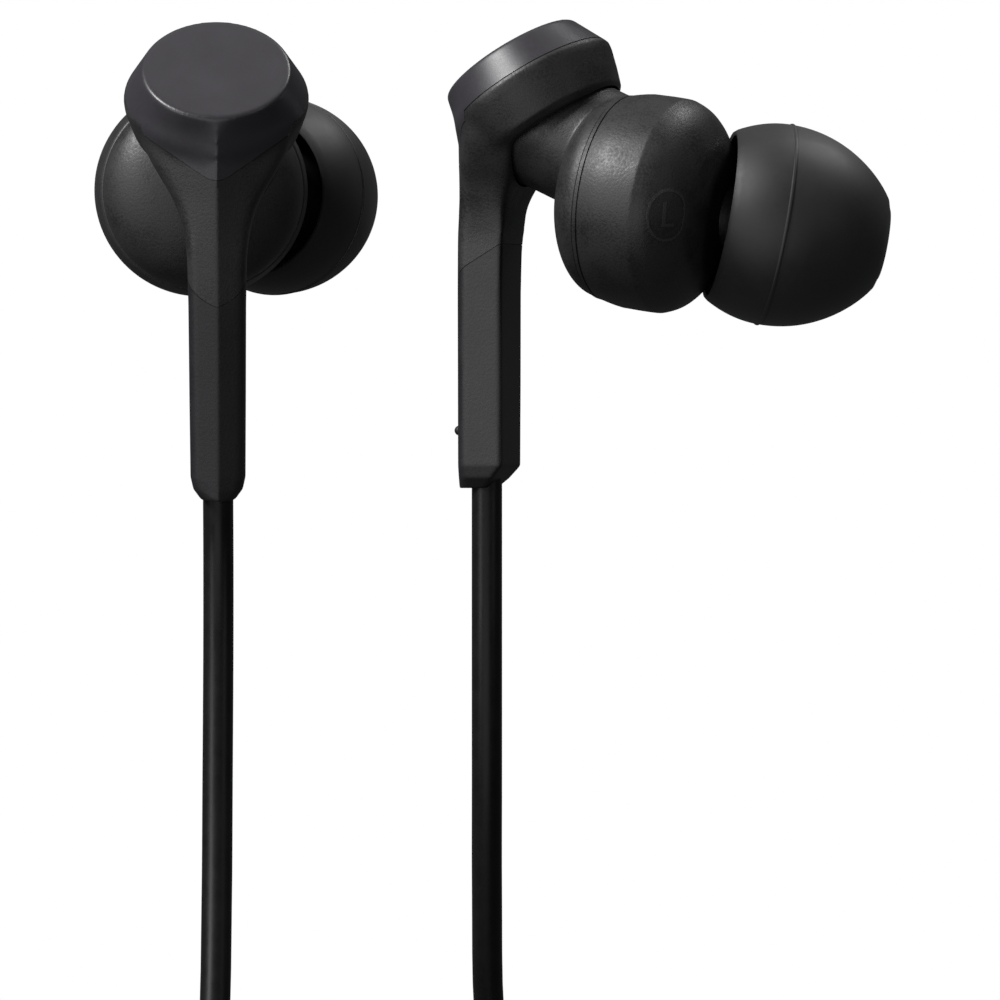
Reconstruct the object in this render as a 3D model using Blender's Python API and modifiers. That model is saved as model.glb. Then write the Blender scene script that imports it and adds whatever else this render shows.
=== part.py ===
"""Wired earphones: two in-ear earphones hanging as when worn, their cords, slider, splitter and plug.

Metres, +Z up. The origin is the middle of the left eartip's front, where the ear holds it.
Each earphone is built in its own frame: origin where the cord leaves the stem, +Z up the stem,
-Y the side of the round cap, and +X the side that the nozzle turns to. The left one is its mirror image.
"""

import math

import bmesh
import bpy
from mathutils import Matrix, Vector

# ---------------------------------------------------------------- driving dimensions
GAP = 0.0001  # between two moulded pieces that meet
SEAT_GAP = 0.0002  # round a piece that sits in a recess
CORD_GAP = 0.0003  # between a cord and what it meets

# Where the two earphones hang
LEFT_TURN = math.radians(-112)
RIGHT_TURN = math.radians(1.5)
RIGHT_LEAN = math.radians(10)
RIGHT_FROM_LEFT = (-0.0168, 0.0, -0.00056)

# Stem: a house-shaped section, with its ridge at the front
STEM_HALF_WIDTH = 0.0018
STEM_BACK = 0.00165
STEM_FRONT = -0.0013
STEM_RIDGE = -0.00185
STEM_CORNER = 0.00045
BUSHING_FOOT_SIDE = 0.00075  # how far the foot's sides draw in
BUSHING_FOOT_RISE = 0.0009
BUSHING_BACK_CHAMFER = 0.0013
SEAM_FRONT = 0.0122  # height of the seam between bushing and upper stem
SEAM_RISE = 0.0031  # from the ridge to the back
SEAM_DIP = 340.0  # 1/m: how fast the seam climbs to the sides of the front
LEAN_IN = 0.00008  # the bushing narrows downwards by this much a side
DOT_RADIUS = 0.0003
DOT_HEIGHT = 0.0036

# Round cap and hub, on one axis
CAP_TILT = math.radians(57)  # how far the cap's face looks up
CAP_CENTRE = (0.0, 0.0016, 0.02675)
CAP_FACE_RADIUS = 0.0047
CAP_BASE_RADIUS = 0.0057
CAP_HEIGHT = 0.0018
CAP_EDGE = 0.00022
SPIGOT_HEIGHT = 0.0006
APRON_TIP = 0.0206  # height of the apron's point on the front
APRON_SLOPE = 0.625
APRON_DEPTH = 0.0022
HUB_END_RADIUS = 0.00475
HUB_LENGTH = 0.00356
HUB_BORE = 0.0034
HUB_BORE_DEPTH = 0.0030

# Neck between hub and housing
NECK_RADIUS = 0.0035
NECK_WALL = 0.0008
NECK_FALL = math.radians(25)
NECK_POINT = (0.0, 0.0049, 0.0222)
NECK_INSIDE_HUB = 0.0009
NECK_REACH = 0.0045
LEAD_BORE = 0.0006
LEAD_RADIUS = 0.00025

# Driver housing, turned on one axis
HOUSING_CENTRE = (-0.00095, 0.0110, 0.01775)
HOUSING_TURN = math.radians(-3)
HOUSING_FALL = math.radians(8.5)
DOME_DEPTH = 0.0033
RIM_RADIUS = 0.0063
RIM_PLACE = -0.00203
BAND_RADIUS = 0.0067
BAND_REAR_RADIUS = 0.0064
RIDGE_RADIUS = 0.00655
RIDGE_PLACE = 0.0013
FRONT_RADIUS = 0.0044
FRONT_PLACE = 0.00493
HOUSING_WALL = 0.0007
DRIVER_BORE = 0.0057
DRIVER_SEAT = 0.0010
FRONT_CHAMBER = 0.0036

# Nozzle and eartip, on one axis that turns towards the ear
TIP_TURN = math.radians(28)
TIP_FALL = math.radians(10)
TIP_RIM_CENTRE = (0.00215, 0.01475, 0.0170)
TIP_RIM_RADIUS = 0.0053
TIP_RADIUS = 0.0063
TIP_SEAM_PLACE = 0.0035
TIP_LENGTH = 0.0104
TIP_FRONT_RADIUS = 0.00245
TIP_WALL = 0.00045
TIP_MOUTH = 0.0019
SLEEVE_START = 0.0018
SLEEVE_WALL = 0.0006
NOZZLE_RADIUS = 0.0023
NOZZLE_BORE = 0.0017
NOZZLE_END = 0.0056
BARB_RISE = 0.00025
BARB_CLEARANCE = 0.0001
NOZZLE_ROOT = -0.0030
MESH_THICKNESS = 0.00015
MESH_RECESS = 0.0003

# Driver
DRIVER_BACK = -0.0015
DRIVER_FRONT = 0.00085
DRIVER_WALL = 0.00045
POT_RADIUS = 0.0030
MAGNET_RADIUS = 0.0025
MAGNET_HEIGHT = 0.0008
PLATE_HEIGHT = 0.0003
COIL_WALL = 0.00015
COIL_LENGTH = 0.0009
COIL_CLEARANCE = 0.00015
DIAPHRAGM_WALL = 0.00012
DIAPHRAGM_RISE = 0.0004
BOARD_WIDTH = 0.0030
BOARD_HEIGHT = 0.0018
BOARD_THICKNESS = 0.0003

# Cords
CORD_RADIUS = 0.00095
KNOT_RADIUS = 0.00115
KNOT_LENGTH = 0.0022
KNOT_PLACE = 0.0050
BRANCH_LENGTH = 0.45
MAIN_LENGTH = 0.75
HANK_GAP = 0.00055  # between neighbouring turns
HANK_INNER = 0.0057  # radius of the innermost fold
HANK_WAIST = 0.0014  # how far the tie draws the runs in
HANK_TOP = -0.0448  # the top of the runs, below where the left cord leaves its stem
BRANCH_TURNS = (1.625, 1.625)  # turns in each layer
MAIN_TURNS = (1.125, 1.5, 1.5, 1.625)
POINTS_A_TURN = 24

# What sits on the cords
TIE_WIDTH = 0.006
TIE_THICKNESS = 0.0008
TIE_CORNER = 0.0017
TWIN_SPREAD = 0.00125  # from the middle to each of the two cords at the slider
SLIDER_HEIGHT = 0.0045
SLIDER_HALF_WIDTH = 0.0032
SLIDER_HALF_DEPTH = 0.0019
SLIDER_TRAVEL = 0.0030  # straight cord left above it
SPLITTER_DROP = 0.0260
SPLITTER_LENGTH = 0.0120
SPLITTER_HALF_WIDTH = 0.0031
SPLITTER_HALF_DEPTH = 0.0020
SPLITTER_RELIEF = 0.0050
LOOP_DROP = 0.0052  # straight cord under the splitter before the return loop
PLUG_DROP = 0.0180
RELIEF_LENGTH = 0.0090
RELIEF_RADIUS = 0.0017
GRIP_LENGTH = 0.0165
GRIP_RADIUS = 0.0032
JACK_RADIUS = 0.00175
SLEEVE_LENGTH = 0.0064
RING_LENGTH = 0.0021
INSULATOR_LENGTH = 0.0008
TIP_CONTACT_LENGTH = 0.0039
INSULATOR_RADIUS = 0.00165

FINE, MEDIUM, COARSE = 30, 24, 16  # sides of turned pieces

# ---------------------------------------------------------------- scene, materials and helpers
for old in list(bpy.data.objects):
    bpy.data.objects.remove(old, do_unlink=True)

PARTS = bpy.data.collections.new("wired_earphones")
CUTTERS = bpy.data.collections.new("cutters")
for collection in (PARTS, CUTTERS):
    bpy.context.scene.collection.children.link(collection)


def material(name, colour, roughness, metallic=0.0):
    made = bpy.data.materials.new(name)
    made.use_nodes = True
    shader = made.node_tree.nodes["Principled BSDF"]
    shader.inputs["Base Color"].default_value = (*colour, 1.0)
    shader.inputs["Roughness"].default_value = roughness
    shader.inputs["Metallic"].default_value = metallic
    return made


SATIN_BLACK = material("satin_black_plastic", (0.030, 0.028, 0.031), 0.38)
GRAINED_BLACK = material("grained_black_plastic", (0.016, 0.016, 0.017), 0.62)
SMOOTH_BLACK = material("smooth_black_plastic", (0.013, 0.013, 0.015), 0.45)
SILICONE = material("black_silicone", (0.020, 0.020, 0.021), 0.55)
CORD_BLACK = material("cord_elastomer", (0.008, 0.008, 0.009), 0.33)
STEEL = material("screen_steel", (0.45, 0.45, 0.46), 0.35, 1.0)
MAGNET_METAL = material("plated_magnet", (0.55, 0.55, 0.56), 0.30, 1.0)
COPPER = material("enamelled_copper", (0.60, 0.25, 0.12), 0.35, 1.0)
FILM = material("diaphragm_film", (0.55, 0.47, 0.30), 0.25)
BOARD_GREEN = material("terminal_board", (0.03, 0.16, 0.07), 0.5)
GOLD = material("gold_plate", (0.83, 0.62, 0.27), 0.22, 1.0)
RING_BLACK = material("insulator_ring", (0.02, 0.02, 0.02), 0.4)


def finish(obj, paint, parent=None, cutter=False):
    """Puts an object in its collection, with its material and its parent."""
    if cutter:
        obj.hide_render = True
        obj.display_type = "WIRE"
    elif paint is not None:
        obj.data.materials.append(paint)
    (CUTTERS if cutter else PARTS).objects.link(obj)
    if parent is not None:
        obj.parent = parent
    return obj


def smooth(mesh, angle=math.radians(35)):
    mesh.shade_smooth()
    mesh.set_sharp_from_angle(angle=angle)


def on_axis(point, direction):
    """A frame at point whose +Z runs along direction."""
    turn = Vector(direction).to_track_quat("Z", "Y").to_matrix().to_4x4()
    return Matrix.Translation(point) @ turn


def turned(name, profile, paint, frame, parent=None, steps=MEDIUM, ring=False, cutter=False):
    """A piece turned round its +Z: profile points are (radius, height), down the outer side.
    A ring's profile is closed; any other one starts and ends on the axis."""
    mesh = bpy.data.meshes.new(name)
    count = len(profile)
    edges = [(i, i + 1) for i in range(count - 1)] + ([(count - 1, 0)] if ring else [])
    mesh.from_pydata([(radius, 0.0, height) for radius, height in profile], edges, [])
    obj = bpy.data.objects.new(name, mesh)
    finish(obj, paint, parent, cutter)
    obj.matrix_local = frame
    spin = obj.modifiers.new("turn", "SCREW")
    spin.steps = spin.render_steps = steps
    spin.use_merge_vertices = True
    spin.merge_threshold = 0.000001
    spin.use_smooth_shade = True
    return obj


def solid_cutter(name, radius, low, high, frame, parent, steps=MEDIUM):
    """A plain cylinder on frame's axis, used to cut or to join."""
    profile = [(0.0, high), (radius, high), (radius, low), (0.0, low)]
    return turned(name, profile, None, frame, parent, steps, cutter=True)


def boolean(obj, other, operation):
    cut = obj.modifiers.new(operation.lower(), "BOOLEAN")
    cut.operation = operation
    cut.solver = "EXACT"
    cut.object = other
    return cut


def rounded(corners, radius, steps=3):
    """Corner points of a flat polygon with each corner drawn round, except those with no radius."""
    points = []
    for i, corner in enumerate(corners):
        here = Vector(corner)
        reach = radius[i] if isinstance(radius, (list, tuple)) else radius
        if reach == 0:
            points.append(here)
            continue
        before, after = Vector(corners[i - 1]), Vector(corners[(i + 1) % len(corners)])
        start = here + (before - here).normalized() * reach
        end = here + (after - here).normalized() * reach
        for step in range(steps + 1):
            share = step / steps
            first, second = start.lerp(here, share), here.lerp(end, share)
            points.append(first.lerp(second, share))
    return points


def loft(name, rings, paint, parent=None, cutter=False):
    """Closed skin over rings of equally many points, from the lowest up. A level end is one face,
    and an uneven one is closed round a middle point."""
    sheet = bmesh.new()
    rows = [[sheet.verts.new(point) for point in ring] for ring in rings]
    for low, high in zip(rows, rows[1:]):
        for i in range(len(low)):
            after = (i + 1) % len(low)
            sheet.faces.new((low[i], low[after], high[after], high[i]))
    for row, upwards in ((rows[0], False), (rows[-1], True)):
        if max(v.co.z for v in row) - min(v.co.z for v in row) < GAP / 100:
            sheet.faces.new(row if upwards else list(reversed(row)))
            continue
        middle = sheet.verts.new(sum((v.co for v in row), Vector()) / len(row))
        for i in range(len(row)):
            after = (i + 1) % len(row)
            sheet.faces.new((row[i], row[after], middle) if upwards else (row[after], row[i], middle))
    bmesh.ops.recalc_face_normals(sheet, faces=sheet.faces)
    mesh = bpy.data.meshes.new(name)
    sheet.to_mesh(mesh)
    sheet.free()
    smooth(mesh)
    return finish(bpy.data.objects.new(name, mesh), paint, parent, cutter)


def prism(name, outline, depth, paint, frame, parent=None, cutter=False):
    """A flat outline in X and Y, drawn out to depth both ways along Z."""
    curve = bpy.data.curves.new(name, "CURVE")
    curve.dimensions = "2D"
    curve.fill_mode = "BOTH"
    curve.extrude = depth
    for loop in outline:
        spline = curve.splines.new("POLY")
        spline.points.add(len(loop) - 1)
        for point, place in zip(spline.points, loop):
            point.co = (place[0], place[1], 0.0, 1.0)
        spline.use_cyclic_u = True
    obj = bpy.data.objects.new(name, curve)
    finish(obj, paint, parent, cutter)
    obj.matrix_local = frame
    return obj


def as_mesh(obj):
    """A curve made a mesh, its caps welded, so that a Boolean can take it."""
    bpy.context.view_layer.update()
    graph = bpy.context.evaluated_depsgraph_get()
    mesh = bpy.data.meshes.new_from_object(obj.evaluated_get(graph))
    sheet = bmesh.new()
    sheet.from_mesh(mesh)
    bmesh.ops.remove_doubles(sheet, verts=sheet.verts, dist=0.000001)
    sheet.to_mesh(mesh)
    sheet.free()
    made = bpy.data.objects.new(obj.name, mesh)
    for collection in obj.users_collection:
        collection.objects.link(made)
    made.hide_render, made.display_type = obj.hide_render, obj.display_type
    made.parent = obj.parent
    made.matrix_world = obj.matrix_world.copy()
    name = obj.name
    bpy.data.objects.remove(obj)
    made.name = name
    return made


def tube(name, points, radius, paint, parent=None, sides=2):
    """A round cord or wire along points. sides is the curve's bevel resolution."""
    curve = bpy.data.curves.new(name, "CURVE")
    curve.dimensions = "3D"
    curve.bevel_depth = radius
    curve.bevel_resolution = sides
    curve.use_fill_caps = True
    spline = curve.splines.new("POLY")
    spline.points.add(len(points) - 1)
    for point, place in zip(spline.points, points):
        point.co = (*place, 1.0)
    return finish(bpy.data.objects.new(name, curve), paint, parent)


def smooth_route(places, steps):
    """Points on a smooth curve through places, steps of them between each two."""
    places = [Vector(place) for place in places]
    ends = [2 * places[0] - places[1], *places, 2 * places[-1] - places[-2]]
    points = []
    for before, start, end, after in zip(ends, ends[1:], ends[2:], ends[3:]):
        for step in range(steps):
            t = step / steps
            pull = (-t + 2 * t**2 - t**3, 2 - 5 * t**2 + 3 * t**3, t + 4 * t**2 - 3 * t**3, t**3 - t**2)
            points.append(0.5 * sum((w * p for w, p in zip(pull, (before, start, end, after))), Vector()))
    return [*points, places[-1]]


# ---------------------------------------------------------------- stem
def house_section(half_width, front, ridge, back, height_at):
    """One level of the stem: flat back and sides, and a front that rises to a ridge."""
    corners = [(half_width, back), (-half_width, back), (-half_width, front), (0.0, ridge), (half_width, front)]
    flat = rounded(corners, [STEM_CORNER, STEM_CORNER, STEM_CORNER, 0, STEM_CORNER])
    return [Vector((x, y, height_at(x, y))) for x, y in flat]


def seam_height(x, y):
    """The seam between bushing and upper stem: lowest at the ridge, highest at the back."""
    back_share = (y - STEM_RIDGE) / (STEM_BACK - STEM_RIDGE)
    return SEAM_FRONT + SEAM_DIP * x * x * (1 - back_share) + SEAM_RISE * back_share


def bushing_section(height, draw_in, back):
    width = STEM_HALF_WIDTH - draw_in
    return house_section(width, STEM_FRONT, STEM_RIDGE, back, lambda x, y: height)


def make_bushing(prefix, parent, with_dot):
    half_chamfer = BUSHING_BACK_CHAMFER / 2
    rings = [
        bushing_section(0.0, BUSHING_FOOT_SIDE, STEM_BACK - BUSHING_BACK_CHAMFER),
        bushing_section(half_chamfer, BUSHING_FOOT_SIDE / 4 + LEAN_IN, STEM_BACK - half_chamfer),
        bushing_section(BUSHING_BACK_CHAMFER + LEAN_IN, LEAN_IN, STEM_BACK),
        bushing_section(SEAM_FRONT / 2, LEAN_IN / 2, STEM_BACK),
        house_section(STEM_HALF_WIDTH, STEM_FRONT, STEM_RIDGE, STEM_BACK, seam_height),
    ]
    bushing = loft(prefix + "_stem_bushing", rings, SMOOTH_BLACK, parent)
    if with_dot:
        dot = bpy.data.meshes.new(prefix + "_dot_shape")
        sheet = bmesh.new()
        bmesh.ops.create_uvsphere(sheet, u_segments=10, v_segments=6, radius=DOT_RADIUS)
        sheet.to_mesh(dot)
        sheet.free()
        ball = finish(bpy.data.objects.new(prefix + "_dot", dot), None, parent, cutter=True)
        ball.location = (0.0, STEM_RIDGE, DOT_HEIGHT)
        boolean(bushing, ball, "UNION")
    upright = Matrix.Identity(4)
    knot_room = KNOT_RADIUS + GAP
    knot_top = KNOT_PLACE + KNOT_LENGTH + SEAT_GAP
    profile = [
        (0.0, SEAM_FRONT + SEAM_RISE),
        (LEAD_BORE, SEAM_FRONT + SEAM_RISE),
        (LEAD_BORE, knot_top),
        (knot_room, knot_top),
        (knot_room, KNOT_PLACE - SEAT_GAP),
        (CORD_RADIUS + GAP, KNOT_PLACE - SEAT_GAP),
        (CORD_RADIUS + GAP, -STEM_HALF_WIDTH),
        (0.0, -STEM_HALF_WIDTH),
    ]
    bore = turned(prefix + "_cord_bore", profile, None, upright, parent, COARSE, cutter=True)
    boolean(bushing, bore, "DIFFERENCE")
    return bushing


def upper_stem_rings(lift):
    """The upper stem from the seam up into the hub. lift moves the first ring clear of the bushing."""
    rings = [house_section(STEM_HALF_WIDTH, STEM_FRONT, STEM_RIDGE, STEM_BACK, lambda x, y: seam_height(x, y) + lift)]
    # height, half width, front corner, ridge, back
    levels = [
        (0.0166, 0.00205, -0.00105, -0.00185, 0.0019),
        (0.0178, 0.00235, -0.00075, -0.00185, 0.0021),
        (0.0190, 0.00285, -0.00025, -0.00186, 0.0026),
        (0.0202, 0.00360, 0.00050, -0.00190, 0.0030),
        (0.02165, 0.00440, 0.00130, -0.00197, 0.0033),
        (0.0230, 0.00485, 0.00185, -0.00205, 0.0034),
    ]
    for height, half_width, front, ridge, back in levels:
        rings.append(house_section(half_width, front, ridge, back, lambda x, y, z=height: z))
    return rings


# ---------------------------------------------------------------- cap and hub
CAP_UP = Vector((0.0, -math.cos(CAP_TILT), math.sin(CAP_TILT)))
CAP_FRAME = on_axis(CAP_CENTRE, CAP_UP)
HUB_TOP = -CAP_HEIGHT
HUB_END = HUB_TOP - HUB_LENGTH


def hub_profile(top, top_radius):
    """The hub's outline under the cap, from top down to its open end, bulging a little."""
    points = [(0.0, top), (top_radius, top)]
    for share, bulge in ((0.0, 0.0), (0.3, 0.7), (0.6, 0.6), (1.0, 0.0)):
        radius = CAP_BASE_RADIUS - GAP + (HUB_END_RADIUS - CAP_BASE_RADIUS + GAP) * share
        points.append((radius + bulge * STEM_CORNER * 0.5, HUB_TOP - GAP - HUB_LENGTH * share))
    return [*points, (0.0, HUB_END - GAP)]


def apron_block(name, parent, grow):
    """Wedge over the front of the stem whose lower edges are the apron's V. grow widens it for the seam."""
    tip = APRON_TIP - grow * math.hypot(1, APRON_SLOPE)
    reach = CAP_BASE_RADIUS + HUB_LENGTH
    outline = [(0.0, tip), (reach, tip + APRON_SLOPE * reach), (reach, tip + 2 * reach)]
    outline += [(-x, z) for x, z in reversed(outline[1:])]
    front, back = STEM_RIDGE - HUB_LENGTH, STEM_RIDGE + APRON_DEPTH + grow
    middle, half = (front + back) / 2, (back - front) / 2
    facing = Matrix.Translation((0.0, middle, 0.0)) @ Matrix.Rotation(math.radians(90), 4, "X")
    return as_mesh(prism(name, [outline], half, None, facing, parent, cutter=True))


def make_head(prefix, parent):
    """The cap with its apron, and the hub with the upper stem, parted along one seam."""
    cap_profile = [
        (0.0, 0.0),
        (CAP_FACE_RADIUS - CAP_EDGE, 0.0),
        (CAP_FACE_RADIUS, -CAP_EDGE),
        (CAP_BASE_RADIUS, HUB_TOP),
        (HUB_BORE - SEAT_GAP, HUB_TOP),
        (HUB_BORE - SEAT_GAP, HUB_TOP - SPIGOT_HEIGHT),
        (0.0, HUB_TOP - SPIGOT_HEIGHT),
    ]
    cap = turned(prefix + "_cap", cap_profile, SATIN_BLACK, CAP_FRAME, parent, FINE)

    # The apron is the part of the hub's and stem's skin inside the wedge.
    skin_top = HUB_TOP + CAP_HEIGHT * 0.7
    skin = turned(prefix + "_skin", hub_profile(skin_top, CAP_FACE_RADIUS), None, CAP_FRAME, parent, FINE, cutter=True)
    skin_stem = loft(prefix + "_skin_stem", upper_stem_rings(GAP), None, parent, cutter=True)
    boolean(skin, skin_stem, "UNION")
    apron = apron_block(prefix + "_apron", parent, 0.0)
    boolean(apron, skin, "INTERSECT")
    boolean(cap, apron, "UNION")

    hub = turned(prefix + "_hub_stem", hub_profile(HUB_TOP - GAP / 2, CAP_BASE_RADIUS - GAP), GRAINED_BLACK,
                 CAP_FRAME, parent, FINE)
    stem = loft(prefix + "_upper_stem", upper_stem_rings(GAP), None, parent, cutter=True)
    boolean(hub, stem, "UNION")
    above = solid_cutter(prefix + "_above_seam", CAP_BASE_RADIUS * 1.5, HUB_TOP - GAP, CAP_HEIGHT, CAP_FRAME, parent)
    boolean(hub, above, "DIFFERENCE")
    boolean(hub, apron_block(prefix + "_apron_room", parent, GAP), "DIFFERENCE")
    bore = solid_cutter(prefix + "_hub_bore", HUB_BORE, HUB_TOP - HUB_BORE_DEPTH, CAP_HEIGHT, CAP_FRAME, parent)
    boolean(hub, bore, "DIFFERENCE")
    room = solid_cutter(prefix + "_neck_room", NECK_RADIUS + SEAT_GAP, -NECK_INSIDE_HUB - NECK_RADIUS / 2,
                        2 * NECK_REACH, NECK_FRAME, parent)
    boolean(hub, room, "DIFFERENCE")
    lead = LEAD_HIGH - LEAD_LOW
    lead_frame = on_axis(LEAD_LOW, lead)
    lead_bore = solid_cutter(prefix + "_lead_bore", LEAD_BORE, -SEAM_RISE, lead.length, lead_frame, parent, 12)
    boolean(hub, lead_bore, "DIFFERENCE")
    return cap, hub


NECK_ALONG = Vector((0.0, math.cos(NECK_FALL), -math.sin(NECK_FALL)))
NECK_FRAME = on_axis(NECK_POINT, NECK_ALONG)
LEAD_LOW = Vector((0.0, 0.0001, SEAM_FRONT))
LEAD_HIGH = Vector((0.0, 0.0015, 0.0207))


# ---------------------------------------------------------------- housing, nozzle and eartip
def heading(turn, fall, side):
    """A direction that runs to the back, turned to the ear's side and falling."""
    return Vector((side * math.sin(turn) * math.cos(fall), math.cos(turn) * math.cos(fall), -math.sin(fall)))


def mirrored(point, side):
    return Vector((side * point[0], point[1], point[2]))


def dome(radius, place, depth, steps=6):
    """Profile of the housing's domed back, rising away from place, from the pole to its rim."""
    points = []
    for step in range(steps + 1):
        angle = math.radians(90) * step / steps
        points.append((radius * math.sin(angle) ** 0.93, place - depth * math.cos(angle)))
    return points


def make_rear_housing(prefix, parent, frame):
    outline = [(0.0, RIM_PLACE), *reversed(dome(RIM_RADIUS, RIM_PLACE, DOME_DEPTH))]
    housing = turned(prefix + "_rear_housing", outline, GRAINED_BLACK, frame, parent, FINE)
    neck = solid_cutter(prefix + "_neck", NECK_RADIUS, -NECK_INSIDE_HUB, NECK_REACH, NECK_FRAME, parent)
    boolean(housing, neck, "UNION")
    inner_radius, inner_depth = RIM_RADIUS - HOUSING_WALL, DOME_DEPTH - HOUSING_WALL
    wide = 2 * RIM_RADIUS
    inside = [(0.0, RIM_PLACE + wide), (wide, RIM_PLACE + wide), (wide, RIM_PLACE)]
    inside += list(reversed(dome(inner_radius, RIM_PLACE, inner_depth)))
    boolean(housing, turned(prefix + "_dome_room", inside, None, frame, parent, MEDIUM, cutter=True), "DIFFERENCE")
    bore = solid_cutter(prefix + "_neck_bore", NECK_RADIUS - NECK_WALL, -2 * NECK_REACH, NECK_REACH,
                        NECK_FRAME, parent, COARSE)
    boolean(housing, bore, "DIFFERENCE")
    return housing


def make_front_housing(prefix, parent, frame, tip_frame):
    rear = RIM_PLACE + GAP
    cone = FRONT_PLACE - RIDGE_PLACE
    shape = [(0.0, FRONT_PLACE), (FRONT_RADIUS - GAP, FRONT_PLACE)]
    for share in (0.05, 0.2, 0.45, 0.72, 1.0):
        rise = (1 - (1 - share) ** 1.9) ** 0.62
        shape.append((FRONT_RADIUS + (RIDGE_RADIUS - FRONT_RADIUS) * rise, FRONT_PLACE - cone * share))
    shape += [(BAND_RADIUS, 0.0), (BAND_RADIUS - GAP / 2, RIM_PLACE / 2), (BAND_REAR_RADIUS, rear), (0.0, rear)]
    housing = turned(prefix + "_front_housing", shape, GRAINED_BLACK, frame, parent, FINE)
    barb = NOZZLE_RADIUS + BARB_RISE
    spout = [
        (0.0, NOZZLE_END),
        (NOZZLE_RADIUS - BARB_RISE / 2, NOZZLE_END),
        (barb, NOZZLE_END - 3 * BARB_RISE),
        (barb, NOZZLE_END - 5 * BARB_RISE),
        (NOZZLE_RADIUS, NOZZLE_END - 5 * BARB_RISE),
        (NOZZLE_RADIUS, NOZZLE_ROOT),
        (0.0, NOZZLE_ROOT),
    ]
    boolean(housing, turned(prefix + "_spout", spout, None, tip_frame, parent, MEDIUM, cutter=True), "UNION")
    room = [
        (0.0, FRONT_CHAMBER),
        (DRIVER_BORE * 0.45, FRONT_CHAMBER),
        (DRIVER_BORE - 2 * HOUSING_WALL, DRIVER_SEAT + HOUSING_WALL),
        (DRIVER_BORE - HOUSING_WALL, DRIVER_SEAT),
        (DRIVER_BORE, DRIVER_SEAT),
        (DRIVER_BORE, 2 * RIM_PLACE),
        (0.0, 2 * RIM_PLACE),
    ]
    boolean(housing, turned(prefix + "_driver_room", room, None, frame, parent, MEDIUM, cutter=True), "DIFFERENCE")
    mouth = [
        (0.0, NOZZLE_END + MESH_RECESS),
        (NOZZLE_BORE + MESH_RECESS, NOZZLE_END + MESH_RECESS),
        (NOZZLE_BORE + MESH_RECESS, NOZZLE_END - MESH_RECESS),
        (NOZZLE_BORE, NOZZLE_END - MESH_RECESS),
        (NOZZLE_BORE, NOZZLE_ROOT),
        (0.0, NOZZLE_ROOT),
    ]
    boolean(housing, turned(prefix + "_mouth", mouth, None, tip_frame, parent, MEDIUM, cutter=True), "DIFFERENCE")
    return housing


def make_nozzle_mesh(prefix, parent, tip_frame):
    seat = NOZZLE_END - MESH_RECESS + GAP / 2
    radius = NOZZLE_BORE + MESH_RECESS - GAP
    profile = [(0.0, seat + MESH_THICKNESS), (radius, seat + MESH_THICKNESS), (radius, seat), (0.0, seat)]
    return turned(prefix + "_nozzle_mesh", profile, STEEL, tip_frame, parent, COARSE)


def tip_outline(inset, first, last, steps=9):
    """Profile of the eartip's dome between two shares of its length, inset from its outer skin."""
    points = []
    for step in range(steps + 1):
        share = first + (last - first) * step / steps
        height = TIP_LENGTH * share
        if height <= TIP_SEAM_PLACE:
            back = (TIP_SEAM_PLACE - height) / TIP_SEAM_PLACE
            radius = TIP_RADIUS - (TIP_RADIUS - TIP_RIM_RADIUS) * back**2
        else:
            along = (height - TIP_SEAM_PLACE) / (TIP_LENGTH - TIP_SEAM_PLACE)
            radius = TIP_FRONT_RADIUS + (TIP_RADIUS - TIP_FRONT_RADIUS) * (1 - along**2.1) ** 0.8
        points.append((radius - inset, height))
    return points


def make_eartip(prefix, parent, tip_frame):
    bore = NOZZLE_RADIUS + BARB_RISE + BARB_CLEARANCE
    sleeve = bore + SLEEVE_WALL
    outer = list(reversed(tip_outline(0.0, 0.0, 1.0, 9)))
    inner = tip_outline(TIP_WALL, 0.02, 0.62, 4)
    profile = [
        (TIP_MOUTH, TIP_LENGTH - GAP),
        *outer,
        *inner,
        (sleeve, inner[-1][1] + TIP_WALL),
        (sleeve, SLEEVE_START),
        (bore, SLEEVE_START),
        (bore, NOZZLE_END + SEAT_GAP),
        (TIP_MOUTH, NOZZLE_END + SEAT_GAP + BARB_RISE),
    ]
    return turned(prefix + "_eartip", profile, SILICONE, tip_frame, parent, MEDIUM, ring=True)


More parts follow.
